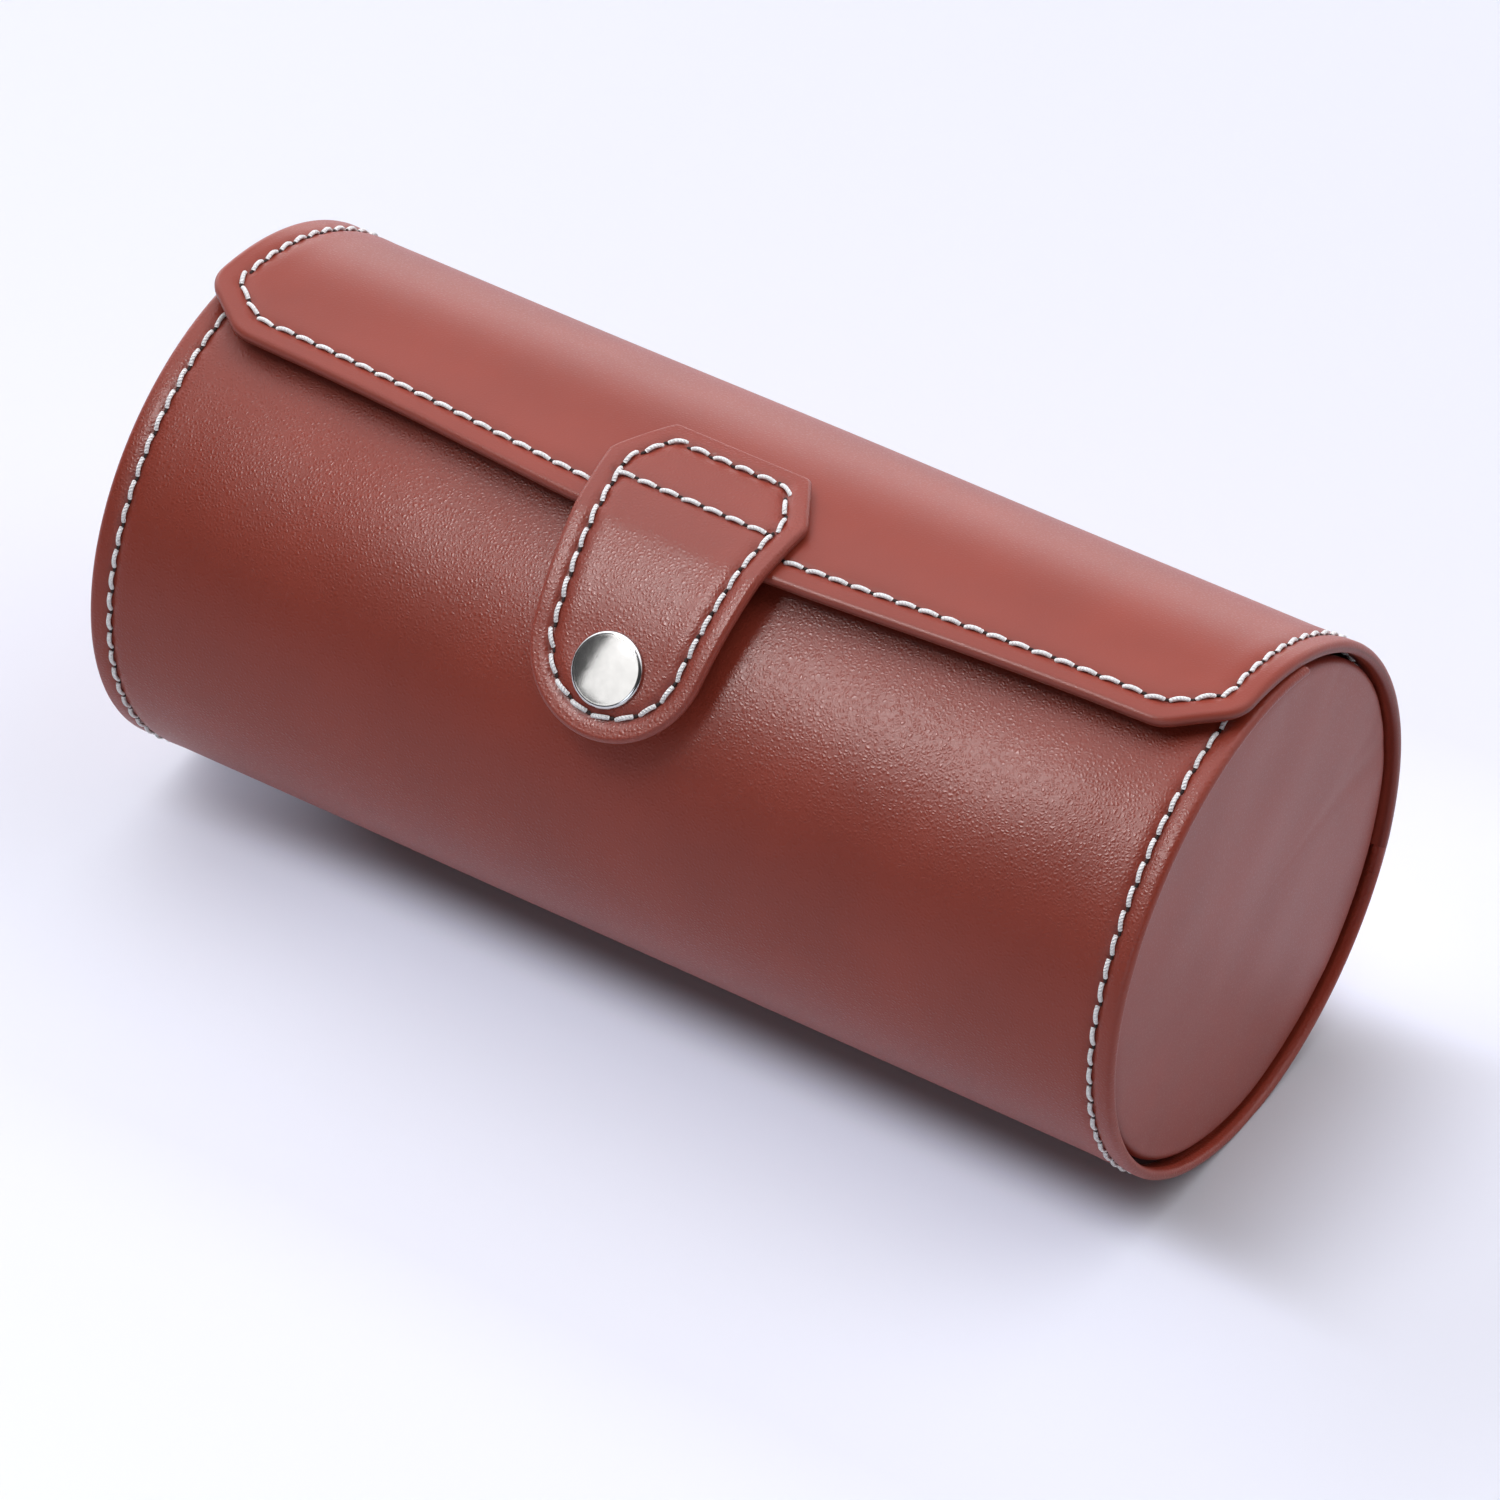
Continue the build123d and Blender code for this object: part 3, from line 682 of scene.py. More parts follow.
def pebble_grain():
    """Fine pebbled leather: small cushions of uneven size, parted by creases."""
    new, given = shader_group(
        "Pebble Grain", {"Vector": None, "Pebbles per Metre": 900.0, "Crease Width": 0.5}
    )
    place = given["Vector"]
    warp = new.add("ShaderNodeTexNoise", {"Vector": place, "Scale": 700.0, "Detail": 2.0})
    spread = new.vector("SCALE", {0: warp.outputs["Color"], "Scale": 0.0006})
    moved = new.vector("ADD", {0: place, 1: spread})
    cells = new.add(
        "ShaderNodeTexVoronoi",
        {"Vector": moved, "Scale": given["Pebbles per Metre"]},
        feature="DISTANCE_TO_EDGE",
    )
    soft = new.remap(cells.outputs["Distance"], 0.0, given["Crease Width"], smooth=True)
    fine = new.maths("MULTIPLY", new.noise(place, 2600.0, 3.0), 0.15)
    outputs = {"Height": new.maths("ADD", soft, fine), "Crease": new.maths("SUBTRACT", 1.0, soft)}
    return put_out(new, outputs)


def tone_drift():
    """Slow change between two tones, as in hide that took the dye unevenly."""
    new, given = shader_group("Tone Drift", {
        "Vector": None, "Light Tone": (1, 1, 1, 1), "Dark Tone": (0.5, 0.5, 0.5, 1),
        "Patches per Metre": 30.0,
    })
    patches = new.noise(given["Vector"], given["Patches per Metre"], 4.0, Roughness=0.6)
    share = new.remap(patches, 0.3, 0.7)
    return put_out(new, {"Colour": new.mix(share, given["Dark Tone"], given["Light Tone"])})


def worn_edge():
    """Paler leather on turned edges, part wear and part painted highlight, and painted shade in the
    stitch grooves.
    """
    new, given = shader_group("Edge Wear And Groove Shade", {
        "Colour": (0.2, 0.1, 0.1, 1), "Edge Colour": (0.4, 0.2, 0.15, 1),
        "Edge": 0.0, "Groove": 0.0,
    })
    paler = new.mix(given["Edge"], given["Colour"], given["Edge Colour"])
    # Painted shade: the stitch grooves go toward near-black
    depth = new.maths("MULTIPLY", given["Groove"], 0.45)
    return put_out(new, {"Colour": new.mix(depth, paler, HOLE_SHADE)})


def suede_nap():
    """Short nap of suede: fine fibres brushed into light and dark patches."""
    new, given = shader_group("Suede Nap", {"Vector": None, "Fibres per Metre": 3000.0})
    place = given["Vector"]
    fibres = new.noise(place, given["Fibres per Metre"], 4.0, Roughness=0.7)
    strokes = new.noise(place, 70.0, 3.0, Distortion=1.2)
    return put_out(new, {"Height": fibres, "Brushed": new.remap(strokes, 0.35, 0.65)})


def tinted(colour, factor):
    """Colour with an alpha, made lighter or darker."""
    return tuple(min(1.0, c * factor) for c in colour) + (1.0,)


def leather(name, pebbles, grain_depth, roughness, shine, light=1.0):
    """Pebbled leather with its own grain, gloss, shine and tone."""
    colours = bpy.context.scene.roll_colours
    new = Finish(name)
    grain = new.group("grain", {"Vector": new.place, "Pebbles per Metre": pebbles})
    # Base colour: a paler turned edge, part wear and part painted highlight, and painted shade
    # along the stitches
    worn = new.group("worn", {
        "Colour": new.drift(*(tinted(colours.leather, share * light) for share in (1.08, 0.9))),
        "Edge Colour": tinted(colours.leather_edge_wear_sheen, 1.0),
        "Edge": new.attribute("edge"),
        "Groove": new.attribute("groove_shade"),
    })
    return new.done({
        "Base Color": worn[0],
        "Roughness": new.remap(grain["Crease"], 0.0, 1.0, roughness, roughness + 0.12),
        "Normal": new.bump(grain["Height"], grain_depth),
        "Specular IOR Level": shine,
    })


def suede(name, light=1.0):
    """Soft lining with a short nap."""
    colours = bpy.context.scene.roll_colours
    new = Finish(name)
    nap = new.group("nap", {"Vector": new.place})
    tones = [tinted(colours.suede, share * light) for share in (0.86, 1.06)]
    return new.done({
        "Base Color": new.mix(nap["Brushed"], *tones),
        "Normal": new.bump(nap["Height"], 0.06),
        "Roughness": 0.92, "Specular IOR Level": 0.2, "Sheen Weight": 0.35, "Sheen Roughness": 0.5,
    })


def steel(name, roughness):
    """Polished steel with faint rubbing marks."""
    colours = bpy.context.scene.roll_colours
    new = Finish(name)
    marks = new.noise(new.place, 420.0, 6.0)
    return new.done({
        "Base Color": new.drift(tinted(colours.steel, 1.05), tinted(colours.steel, 0.93), 400.0),
        "Roughness": new.remap(marks, 0.0, 1.0, roughness, roughness + 0.12),
        "Normal": new.bump(marks, 0.012),
        "Metallic": 1.0,
    })


def sewing_thread(name):
    """Twisted sewing thread."""
    colours = bpy.context.scene.roll_colours
    new = Finish(name)
    return new.done({
        "Base Color": new.drift(tinted(colours.thread, 1.05), tinted(colours.thread, 0.85), 500.0),
        "Normal": new.bump(new.maths("SINE", new.attribute("twist")), 0.05),
        "Roughness": 0.7, "Sheen Weight": 0.2,
    })


def hole_shade_finish(name):
    """Painted shade of a needle hole: near-black for the small dark balls set at the holes."""
    new = Finish(name)
    return new.done({"Base Color": new.drift(HOLE_SHADE, HOLE_DEEPEST_SHADE, 900.0), "Roughness": 0.9})


def greyboard(name):
    """Pressed paper board with flecks."""
    new = Finish(name)
    flecks = new.noise(new.place, 1500.0, 5.0)
    return new.done({
        "Base Color": new.mix(flecks, (0.3, 0.27, 0.22, 1), (0.48, 0.43, 0.36, 1)),
        "Normal": new.bump(flecks, 0.03),
        "Roughness": 0.85,
    })


def paint_all():
    """Makes every finish once."""
    groups.update(grain=pebble_grain(), drift=tone_drift(), worn=worn_edge(), nap=suede_nap())
    finishes.update(
        tube=leather("Tube Leather", 1450.0, 0.044, 0.3, 0.36),
        flap=leather("Flap Leather", 1700.0, 0.016, 0.32, 0.34),
        tab=leather("Tab Leather", 1450.0, 0.04, 0.31, 0.42),
        disc=leather("End Disc Leather", 2000.0, 0.012, 0.38, 0.88),
        # Painted shade: near-black leather on the boards, so the gaps beside the end discs and at
        # the rim look dark
        stained=leather("Board In Painted Shade", 1200.0, 0.02, 0.6, 0.3, 0.12),
        suede=suede("Lining Suede"),
        cushion=suede("Cushion Suede", 1.08),
        steel=steel("Snap Steel", 0.07),
        thread=sewing_thread("Sewing Thread"),
        hole=hole_shade_finish("Needle Hole Shade"),
        board=greyboard("Greyboard"),
    )


# Stitching


def stitch_rows_tree():
    """Geometry Nodes tree that sews stitches along guide lines, with a dark ball of painted shade
    at each needle hole.
    """
    tree = bpy.data.node_groups.new("Stitch Rows", "GeometryNodeTree")
    for label, kind in (
        ("Geometry", "Geometry"), ("Stitch Length", "Float"), ("Thread Thickness", "Float"),
        ("Arch", "Float"), ("Slant", "Float"), ("Slant Change", "Float"), ("Seed", "Int"),
        ("Half Gap", "Float"), ("Thread", "Material"), ("Hole", "Material"),
    ):
        tree.interface.new_socket(label, in_out="INPUT", socket_type="NodeSocket" + kind)
    tree.interface.new_socket("Geometry", in_out="OUTPUT", socket_type="NodeSocketGeometry")
    given, out = tree.nodes.new("NodeGroupInput"), tree.nodes.new("NodeGroupOutput")
    size = given.outputs
    new = Nodes(tree)
    maths = new.maths

    def add(kind, inputs=None, **settings):
        return new.add("GeometryNode" + kind, inputs, **settings).outputs[0]

    def named(name, kind):
        made = new.add("GeometryNodeInputNamedAttribute", {"Name": name}, data_type=kind)
        return made.outputs["Attribute"]

    def place(x, y, z):
        return new.add("ShaderNodeCombineXYZ", {0: x, 1: y, 2: z}).outputs[0]

    # Stitch places, evenly spaced on each guide, turned to the guide and the leather
    lines = add("MeshToCurve", {"Mesh": size["Geometry"]})
    places = add("ResampleCurve", {"Curve": lines, "Count": named("stitches", "INT")})
    aligned = new.add(
        "FunctionNodeAxesToRotation",
        {"Primary Axis": named("outward", "FLOAT_VECTOR"), "Secondary Axis": add("InputTangent")},
        primary_axis="Z", secondary_axis="X",
    )
    change = new.add(
        "FunctionNodeRandomValue",
        {
            "Min": maths("MULTIPLY", size["Slant Change"], -1.0),
            "Max": size["Slant Change"],
            "Seed": size["Seed"],
        },
        data_type="FLOAT",
    )
    change_out = [o for o in change.outputs if o.type == "VALUE" and o.enabled][0]
    slant = new.add(
        "FunctionNodeEulerToRotation",
        {0: place(0.0, 0.0, maths("ADD", size["Slant"], change_out))},
    )
    turned = new.add(
        "FunctionNodeRotateRotation",
        {"Rotation": aligned.outputs[0], "Rotate By": slant.outputs[0]},
        rotation_space="LOCAL",
    ).outputs[0]

    # One stitch: a short arched thread whose ends dive into the leather
    half = maths("MULTIPLY", size["Stitch Length"], 0.5)
    thread_radius = maths("MULTIPLY", size["Thread Thickness"], 0.5)
    dip = maths("MULTIPLY", size["Thread Thickness"], -0.45)
    arch = add("CurveQuadraticBezier", {
        "Resolution": 7,
        "Start": place(maths("MULTIPLY", half, -1.0), 0.0, dip),
        "Middle": place(0.0, 0.0, maths("MULTIPLY", size["Arch"], 2.0)),
        "End": place(half, 0.0, dip),
    })
    around = add("CurvePrimitiveCircle", {"Resolution": 8, "Radius": thread_radius})
    swept = add("CurveToMesh", {0: arch, "Profile Curve": around, "Fill Caps": True})
    flattened = add("Transform", {"Geometry": swept, "Scale": (1.0, 1.0, 0.8)})
    where = new.add("ShaderNodeSeparateXYZ", {0: add("InputPosition")}).outputs
    twist = maths(
        "ADD", maths("MULTIPLY", where[0], 11000.0), maths("MULTIPLY", where[1], 7000.0)
    )
    stitch = add(
        "StoreNamedAttribute", {"Geometry": flattened, "Name": "twist", "Value": twist},
        data_type="FLOAT", domain="POINT",
    )
    # Painted shade at each needle hole: a flat dark ball between stitches
    ball = add("MeshUVSphere", {"Segments": 8, "Rings": 4, "Radius": thread_radius})
    hole = add("Transform", {
        "Geometry": ball,
        "Translation": place(size["Half Gap"], 0.0, maths("MULTIPLY", dip, 0.9)),
        "Scale": (1.25, 0.8, 0.5),
    })

    # Both are set at every place, made real and given their finish
    joined = new.add("GeometryNodeJoinGeometry")
    for one, finish in ((stitch, "Thread"), (hole, "Hole")):
        spread = add("InstanceOnPoints", {"Points": places, "Instance": one, "Rotation": turned})
        smooth = add("SetShadeSmooth", {0: add("RealizeInstances", {0: spread})})
        finished = add("SetMaterial", {"Geometry": smooth, "Material": size[finish]})
        tree.links.new(finished, joined.inputs[0])
    tree.links.new(joined.outputs[0], out.inputs[0])
    return tree


def seam_line(place, run, height, side=1):
    """Guide of one row: its points, the outward direction at each and its stitch count."""
    pitch, length = fitted_pitch(run), length_of(run)
    count = int(round(length / pitch))
    fine = even(run, 0.25)
    trim = pitch / 2 / length
    at = np.linspace(trim, 1 - trim, max(count * 8, 2)) * (len(fine) - 1)
    flat = np.stack([np.interp(at, np.arange(len(fine)), fine[:, k]) for k in (0, 1)], -1)
    x, along = flat[:, 0], flat[:, 1]
    points = place(x, along, np.full(len(x), height))
    return points, facing_of(place, x, along, height) * side, count


def sew(name, guides):
    """One mesh of stitches on all the guides."""
    sizes = bpy.context.scene.roll_sizes
    points = np.concatenate([g[0] for g in guides]) * MM
    outward = np.concatenate([g[1] for g in guides])
    counts = np.concatenate([np.full(len(g[0]), g[2]) for g in guides])
    edges, start = [], 0
    for guide in guides:
        edges += [(start + k, start + k + 1) for k in range(len(guide[0]) - 1)]
        start += len(guide[0])
    mesh = bpy.data.meshes.new(name + "_guide")
    mesh.from_pydata(points.tolist(), edges, [])
    mesh.attributes.new("outward", "FLOAT_VECTOR", "POINT").data.foreach_set(
        "vector", outward.astype(np.float32).ravel()
    )
    mesh.attributes.new("stitches", "INT", "POINT").data.foreach_set(
        "value", counts.astype(np.int32)
    )
    guide = put_in(name + "_guide", mesh)
    if "stitches" not in groups:
        groups["stitches"] = stitch_rows_tree()
    modifier = guide.modifiers.new("Stitch Rows", "NODES")
    modifier.node_group = groups["stitches"]
    values = {
        "Stitch Length": sizes.stitch_length * MM,
        "Thread Thickness": sizes.thread * MM,
        "Arch": 0.42 * MM,
        "Slant": math.radians(5.0),
        "Slant Change": math.radians(3.5),
        "Seed": sizes.seed,
        "Half Gap": sizes.stitch_pitch / 2 * MM,
        "Thread": finishes["thread"],
        "Hole": finishes["hole"],
    }
    for socket in groups["stitches"].interface.items_tree:
        if socket.in_out == "INPUT" and socket.name in values:
            modifier[socket.identifier] = values[socket.name]
    scene_now = bpy.context.evaluated_depsgraph_get()
    made = bpy.data.meshes.new_from_object(
        guide.evaluated_get(scene_now), preserve_all_data_layers=True, depsgraph=scene_now
    )
    made.name = name
    if not len(made.polygons):
        raise RuntimeError(f"no stitches were made for {name}")
    guide.modifiers.clear()
    bpy.data.objects.remove(guide)
    return put_in(name, made)


# Rows of stitches, as runs on the laid-out leather

RIM_INSET, FLAP_INSET, TAB_INSET = 4.2, 4.4, 4.0


def body_length():
    """Length round the tube's wall from the lip to the hinge."""
    return math.radians(plan.lip - plan.body_back) * plan.radius


def rim_row(side):
    """Row on the tube beside one rim."""
    x = side * (plan.half - RIM_INSET)
    return even(np.array([(x, 1.2), (x, body_length())]), 0.5)


def flap_row():
    """Row up one end of the flap, along its front edge and up the other end."""
    return even(flap_outline(FLAP_INSET), 0.5)


def tab_row():
    """Row round the tab."""
    return even(tab_outline(TAB_INSET), 0.4)


def tab_cross_row():
    """Row across the tab above the flap's edge, as long as the strap is wide there."""
    row = tab_row()
    near = row[np.abs(row[:, 1] - TAB_CROSS_UP) < 1.0]
    reach = np.abs(near[:, 0]).mean()
    return even(np.array([(-reach - 0.8, TAB_CROSS_UP), (reach - 0.6, TAB_CROSS_UP)]), 0.4)


# Pieces. Each operator makes one, or a group of like ones.

plan = None


def prepare():
    """Works out the places from the sizes, and makes the finishes once."""
    global plan
    plan = Plan()
    if not finishes:
        paint_all()


def paint_node(name, finish):
    """Gives a CAD node that stays its finish."""
    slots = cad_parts[name].material_slots
    if not slots:
        raise RuntimeError(f"{name} has no material slot")
    for slot in slots:
        slot.material = finish


# Leather beside a rim: thicker where it is turned in, with a bead and a swell at the seam
RIM_TURNED, RIM_TURNED_THICKNESS, RIM_SEAM_DEPTH = 2.2, 1.6, 0.42
SLACK_TUBE, SLACK_FLAP = (3, 0.16), (8, 0.12)
SLACK_FROM_EDGE = 8
SOFT_RIM = 0.8


def rim_relief(rim):
    """Bead and swell of the leather beside a rim."""
    return bead(rim, 0.08, 0.6, 1.0) + puffed(rim, RIM_INSET, 0.26)


class WATCHROLL_OT_tube(bpy.types.Operator):
    """Leather of the tube, turned in at both rims and over the lip, with its seams"""

    bl_idname = "watch_roll.tube"
    bl_label = "Tube Leather"

    def execute(self, context):
        prepare()
        x, down = np.meshgrid(
            steps(2 * plan.half, 2.6) - plan.half,
            steps(body_length(), 0.9, fine_end=(0, 0.02, 0.6)),
            indexing="ij",
        )
        rim, lip = plan.half - np.abs(x), down
        relief = waves(x, down, *SLACK_TUBE) * np.clip(rim / SLACK_FROM_EDGE, 0, 1)
        relief = relief + rim_relief(rim) + ripples(x, down)
        thickness = np.where(rim < RIM_TURNED, RIM_TURNED_THICKNESS, plan.cover)
        turned = (lip < 1.2) & (rim > 4.5)
        thickness = np.where(turned, plan.radius - plan.board_inner, thickness)
        made = leather_sheet(
            "tube_leather", tube_place, x, down, thickness, finishes["tube"],
            edge=np.minimum(rim, lip), soft=SOFT_RIM, relief=relief,
            seams=[(rim_row(side), RIM_SEAM_DEPTH) for side in (-1, 1)], butt=(np.s_[:, -1],),
        )
        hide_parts("body_cover")
        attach(made, "case")
        sewn = sew("rim_stitches", [seam_line(tube_place, rim_row(k), 0.02) for k in (-1, 1)])
        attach(sewn, "case")
        return {"FINISHED"}


# How far a lining stops short of the outer leather's edge
LINING_MARGIN = 7.3


class WATCHROLL_OT_hinge(bpy.types.Operator):
    """Leather and lining without board that bend at the back"""

    bl_idname = "watch_roll.hinge"
    bl_label = "Hinge"

    def execute(self, context):
        prepare()
        length = body_length()
        width = math.radians(360 + plan.body_back - plan.flap_back) * plan.radius
        start, end = bend_between(tube_place, length, length + width)
        inner = np.linspace(0.3, width - 0.3, 13)
        across = np.concatenate([[0, 0.02], inner, [width - 0.02, width]])
        lined = plan.half - LINING_MARGIN
        for name, half, level, thickness, finish, stands_for in (
            ("hinge_leather_piece", plan.half, 0.0, plan.cover, "tube", "hinge_leather"),
            ("hinge_lining_piece", lined, -plan.cover, plan.lining, "suede", "hinge_lining"),
        ):
            x, down = np.meshgrid(steps(2 * half, 2.6) - half, length + across, indexing="ij")
            rim = half - np.abs(x)
            runs, relief = [], 0.0
            if finish == "tube":
                # The tube's slack goes over into the flap's
                share = (down - length) / width
                share = share * share * (3 - 2 * share)
                back = plan.flap_length + width - (down - length)
                slack = waves(x, down, *SLACK_TUBE) * (1 - share)
                slack = slack + waves(x, back, *SLACK_FLAP) * share
                relief = rim_relief(rim) + slack * np.clip(rim / SLACK_FROM_EDGE, 0, 1)
                at_rim = RIM_TURNED_THICKNESS + 0.3 * share
                thickness = np.where(rim < RIM_TURNED, at_rim, thickness)
                for side in (-1, 1):
                    at = side * (plan.half - RIM_INSET)
                    runs.append(np.array([(at, length), (at, length + width)]))
            made = leather_sheet(
                name, tube_place, x, down, thickness, finishes[finish],
                edge=rim, soft=SOFT_RIM if runs else SOFT_RIM / 2, level=level, relief=relief,
                seams=[(run, RIM_SEAM_DEPTH) for run in runs], butt=(np.s_[:, 0], np.s_[:, -1]),
            )
            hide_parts(stands_for)
            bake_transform(made)
            if runs:
                sewn = sew("hinge_stitches", [seam_line(tube_place, run, 0.02) for run in runs])
                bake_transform(sewn)
        return {"FINISHED"}


def flap_grid(inset):
    """Places of a flap layer laid flat, and their distance from its free edge."""
    outline = flap_outline(inset)
    half, far = plan.flap_half - inset, plan.flap_length
    front = outline[1:-1]
    columns = steps(2 * half, FLAP_STEP) - half
    offsets = np.array(EDGE_STEPS)
    count = int((far - offsets[-1]) / FLAP_STEP)
    rows = []
    for start in np.interp(columns, front[:, 0], front[:, 1]):
        rest = np.linspace(start + offsets[-1], far - 0.02, count)[1:]
        rows.append(np.concatenate([start + offsets, rest, [far]]))
    back = np.array(rows)
    x = np.broadcast_to(columns[:, None], back.shape)
    distance, _ = nearest(np.stack([x, back], -1), even(outline, 0.4))
    return x, back, distance


FLAP_STEP = 1.05
# The flap's outer leather with its board, and with the turned edge where the lining stops
FLAP_THICKNESS, FLAP_EDGE_THICKNESS = 1.5, 1.9


class WATCHROLL_OT_flap(bpy.types.Operator):
    """Flap: outer leather, stiffener and lining, sewn round the edge"""

    bl_idname = "watch_roll.flap"
    bl_label = "Flap"

    def execute(self, context):
        prepare()
        x, back, edge = flap_grid(0.0)
        relief = waves(x, back, *SLACK_FLAP) * np.clip(edge / SLACK_FROM_EDGE, 0, 1)
        relief = relief + bead(edge, 0.1, 0.5, 1.0) + puffed(edge, FLAP_INSET, 0.22)
        thickness = np.where(edge < LINING_MARGIN, FLAP_EDGE_THICKNESS, FLAP_THICKNESS)
        row, far = flap_row(), (np.s_[:, -1],)
        # Its folded edge carries painted shade
        made = leather_sheet(
            "flap_leather", flap_place, x, back, thickness, finishes["flap"],
            edge=edge, soft=0.75, relief=relief, seams=[(row, 0.36)], butt=far, folded=True,
        )
        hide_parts("flap_cover", "flap_board")
        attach(made, "flap")
        x, back, edge = flap_grid(LINING_MARGIN)
        lining = leather_sheet(
            "flap_lining_piece", flap_place, x, back, 0.4, finishes["suede"],
            edge=edge, soft=0.2, level=-FLAP_THICKNESS, butt=far,
        )
        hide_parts("flap_lining")
        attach(lining, "flap")
        under = 0.02 - FLAP_EDGE_THICKNESS
        sewn = sew(
            "flap_stitches",
            [seam_line(flap_place, row, 0.0), seam_line(flap_place, row, under, side=-1)],
        )
        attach(sewn, "flap")
        return {"FINISHED"}


def tab_layer(name, inset, level, thickness, seams, relief_height):
    """One leather of the tab, as rings of points from its outline to its middle."""
    outline = even(tab_outline(inset), 0.45)[:-1]
    middle_up = np.clip(outline[:, 1], TAB_END_RADIUS - TAB_BEYOND_SNAP, TAB_TOP_UP - 12.5)
    middle = np.stack([np.zeros(len(outline)), middle_up], -1)
    shares = np.concatenate([np.array(EDGE_STEPS) / TAB_END_RADIUS, np.linspace(0.5, 1.0, 10)])
    flat = outline[None] + (middle - outline)[None] * shares[:, None, None]
    edge, _ = nearest(flat, np.concatenate([outline, outline[:1]]))
    soft = edge_fall(edge, thickness / 2)
    x, up = flat[..., 0], flat[..., 1]
    relief = bead(edge, relief_height, 0.4, 0.75) + puffed(edge, TAB_INSET, 2.4 * relief_height)
    relief = relief + waves(x * 2, up * 2, 5, 0.08)
    dent, groove_shade = seams_in(flat, seams)
    top = level + thickness - soft + relief * np.clip(edge / 0.5, 0, 1) + dent
    low = level + soft
    top[0] = low[0] = level + thickness / 2
    # Values: a paler edge, part wear and part painted highlight, and painted shade along the
    # stitches
    values = {"edge": hill(edge, EDGE_WEAR_SHEEN_WIDTH), "groove_shade": groove_shade}
    return rings(name, tab_place(x, up, top), tab_place(x, up, low), finishes["tab"], values)


# Half the stretch of the tab that bends at the flap's front edge
TAB_BEND_HALF = 2.2


class WATCHROLL_OT_tab(bpy.types.Operator):
    """Strap tab: two leathers sewn round the edge and across, bending over the flap"""

    bl_idname = "watch_roll.tab"
    bl_label = "Tab"

    def execute(self, context):
        prepare()
        crease = plan.tab_crease
        start, end = bend_between(tab_place, crease + TAB_BEND_HALF, crease - TAB_BEND_HALF)
        rows = (tab_row(), tab_cross_row())
        cover = tab_layer(
            "tab_leather", 0.0, plan.tab_backing, plan.tab_top - plan.tab_backing,
            list(zip(rows, (0.48, 0.36))), 0.13,
        )
        backing = tab_layer("tab_backing_leather", 0.35, 0.0, plan.tab_backing, [], 0.0)
        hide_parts("tab_cover", "tab_anchor")
        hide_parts("tab_backing", "tab_anchor_backing")
        # Under the tab, the row shows on its free part alone and starts past the gap
        free = tab_row()
        free = free[free[:, 1] < crease - 1]
        turn = int(np.argmax(np.linalg.norm(np.diff(free, axis=0), axis=1)))
        free = np.concatenate([free[turn + 1:], free[:turn + 1]])
        guides = [seam_line(tab_place, row, plan.tab_top) for row in rows]
        sewn = sew("tab_stitches", guides + [seam_line(tab_place, free, 0.02, side=-1)])
        for piece in (cover, backing, sewn):
            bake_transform(piece)
        return {"FINISHED"}


# Snap cap: a low dome to DOME_RADIUS, its rounded rim, and the barrel through the tab
DOME_RADIUS, DOME_RISE, CAP_RIM, CAP_ABOVE, CAP_SUNK = 5.7, 0.3, 0.7, 1.35, 0.25
CAP_INNER, BARREL_RADIUS, BARREL_LENGTH = 4.6, 1.6, 2.05


class WATCHROLL_OT_snap(bpy.types.Operator):
    """Snap: polished cap on the tab, and steel for the parts under it"""

    bl_idname = "watch_roll.snap"
    bl_label = "Snap"

    def execute(self, context):
        prepare()
        out = np.array((0.0, *direction(plan.snap_angle)))
        up = np.array((0.0, *(-direction(plan.snap_angle - 90))))
        centre = np.array((0.0, 0.0, plan.axis)) + out * plan.radius
        seat = plan.tab_level - plan.radius + plan.tab_top
        top, low, foot = seat + CAP_ABOVE, seat - CAP_SUNK, seat - BARREL_LENGTH
        profile = [
            (r, top - DOME_RISE * (r / DOME_RADIUS) ** 2) for r in np.linspace(0.0, DOME_RADIUS, 24)
        ]
        profile += [
            (DOME_RADIUS + CAP_RIM * math.sin(t), top - DOME_RISE - CAP_RIM + CAP_RIM * math.cos(t))
            for t in np.linspace(0.1, 2.5, 20)
        ]
        profile += [(CAP_INNER, low), (BARREL_RADIUS, low), (BARREL_RADIUS, foot), (0.0, foot)]
        cap = lathe("snap_cap_piece", profile, finishes["steel"], (centre, (1, 0, 0), up, out))
        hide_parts("snap_cap")
        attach(cap, "tab")
        for name in ("snap_socket", "snap_stud", "snap_post"):
            paint_node(name, finishes["steel"])
        return {"FINISHED"}


# Folds at a disc's edge: angle, reach inwards, width in degrees, share of the depth, slant
RIM_FOLDS = (
    (174, 20.0, 4.2, 1.0, 0.06), (163, 12.0, 3.0, 0.5, -0.05), (128, 7.0, 2.2, 0.3, 0.12),
    (101, 6.0, 2.0, 0.25, -0.1), (84, 5.0, 2.4, 0.2, 0.05), (236, 9.0, 3.0, 0.3, 0.04),
    (318, 8.0, 3.2, 0.3, -0.05), (28, 6.0, 2.6, 0.2, 0.06),
)
DISC_TURNS, DISC_RINGS = 256, 26


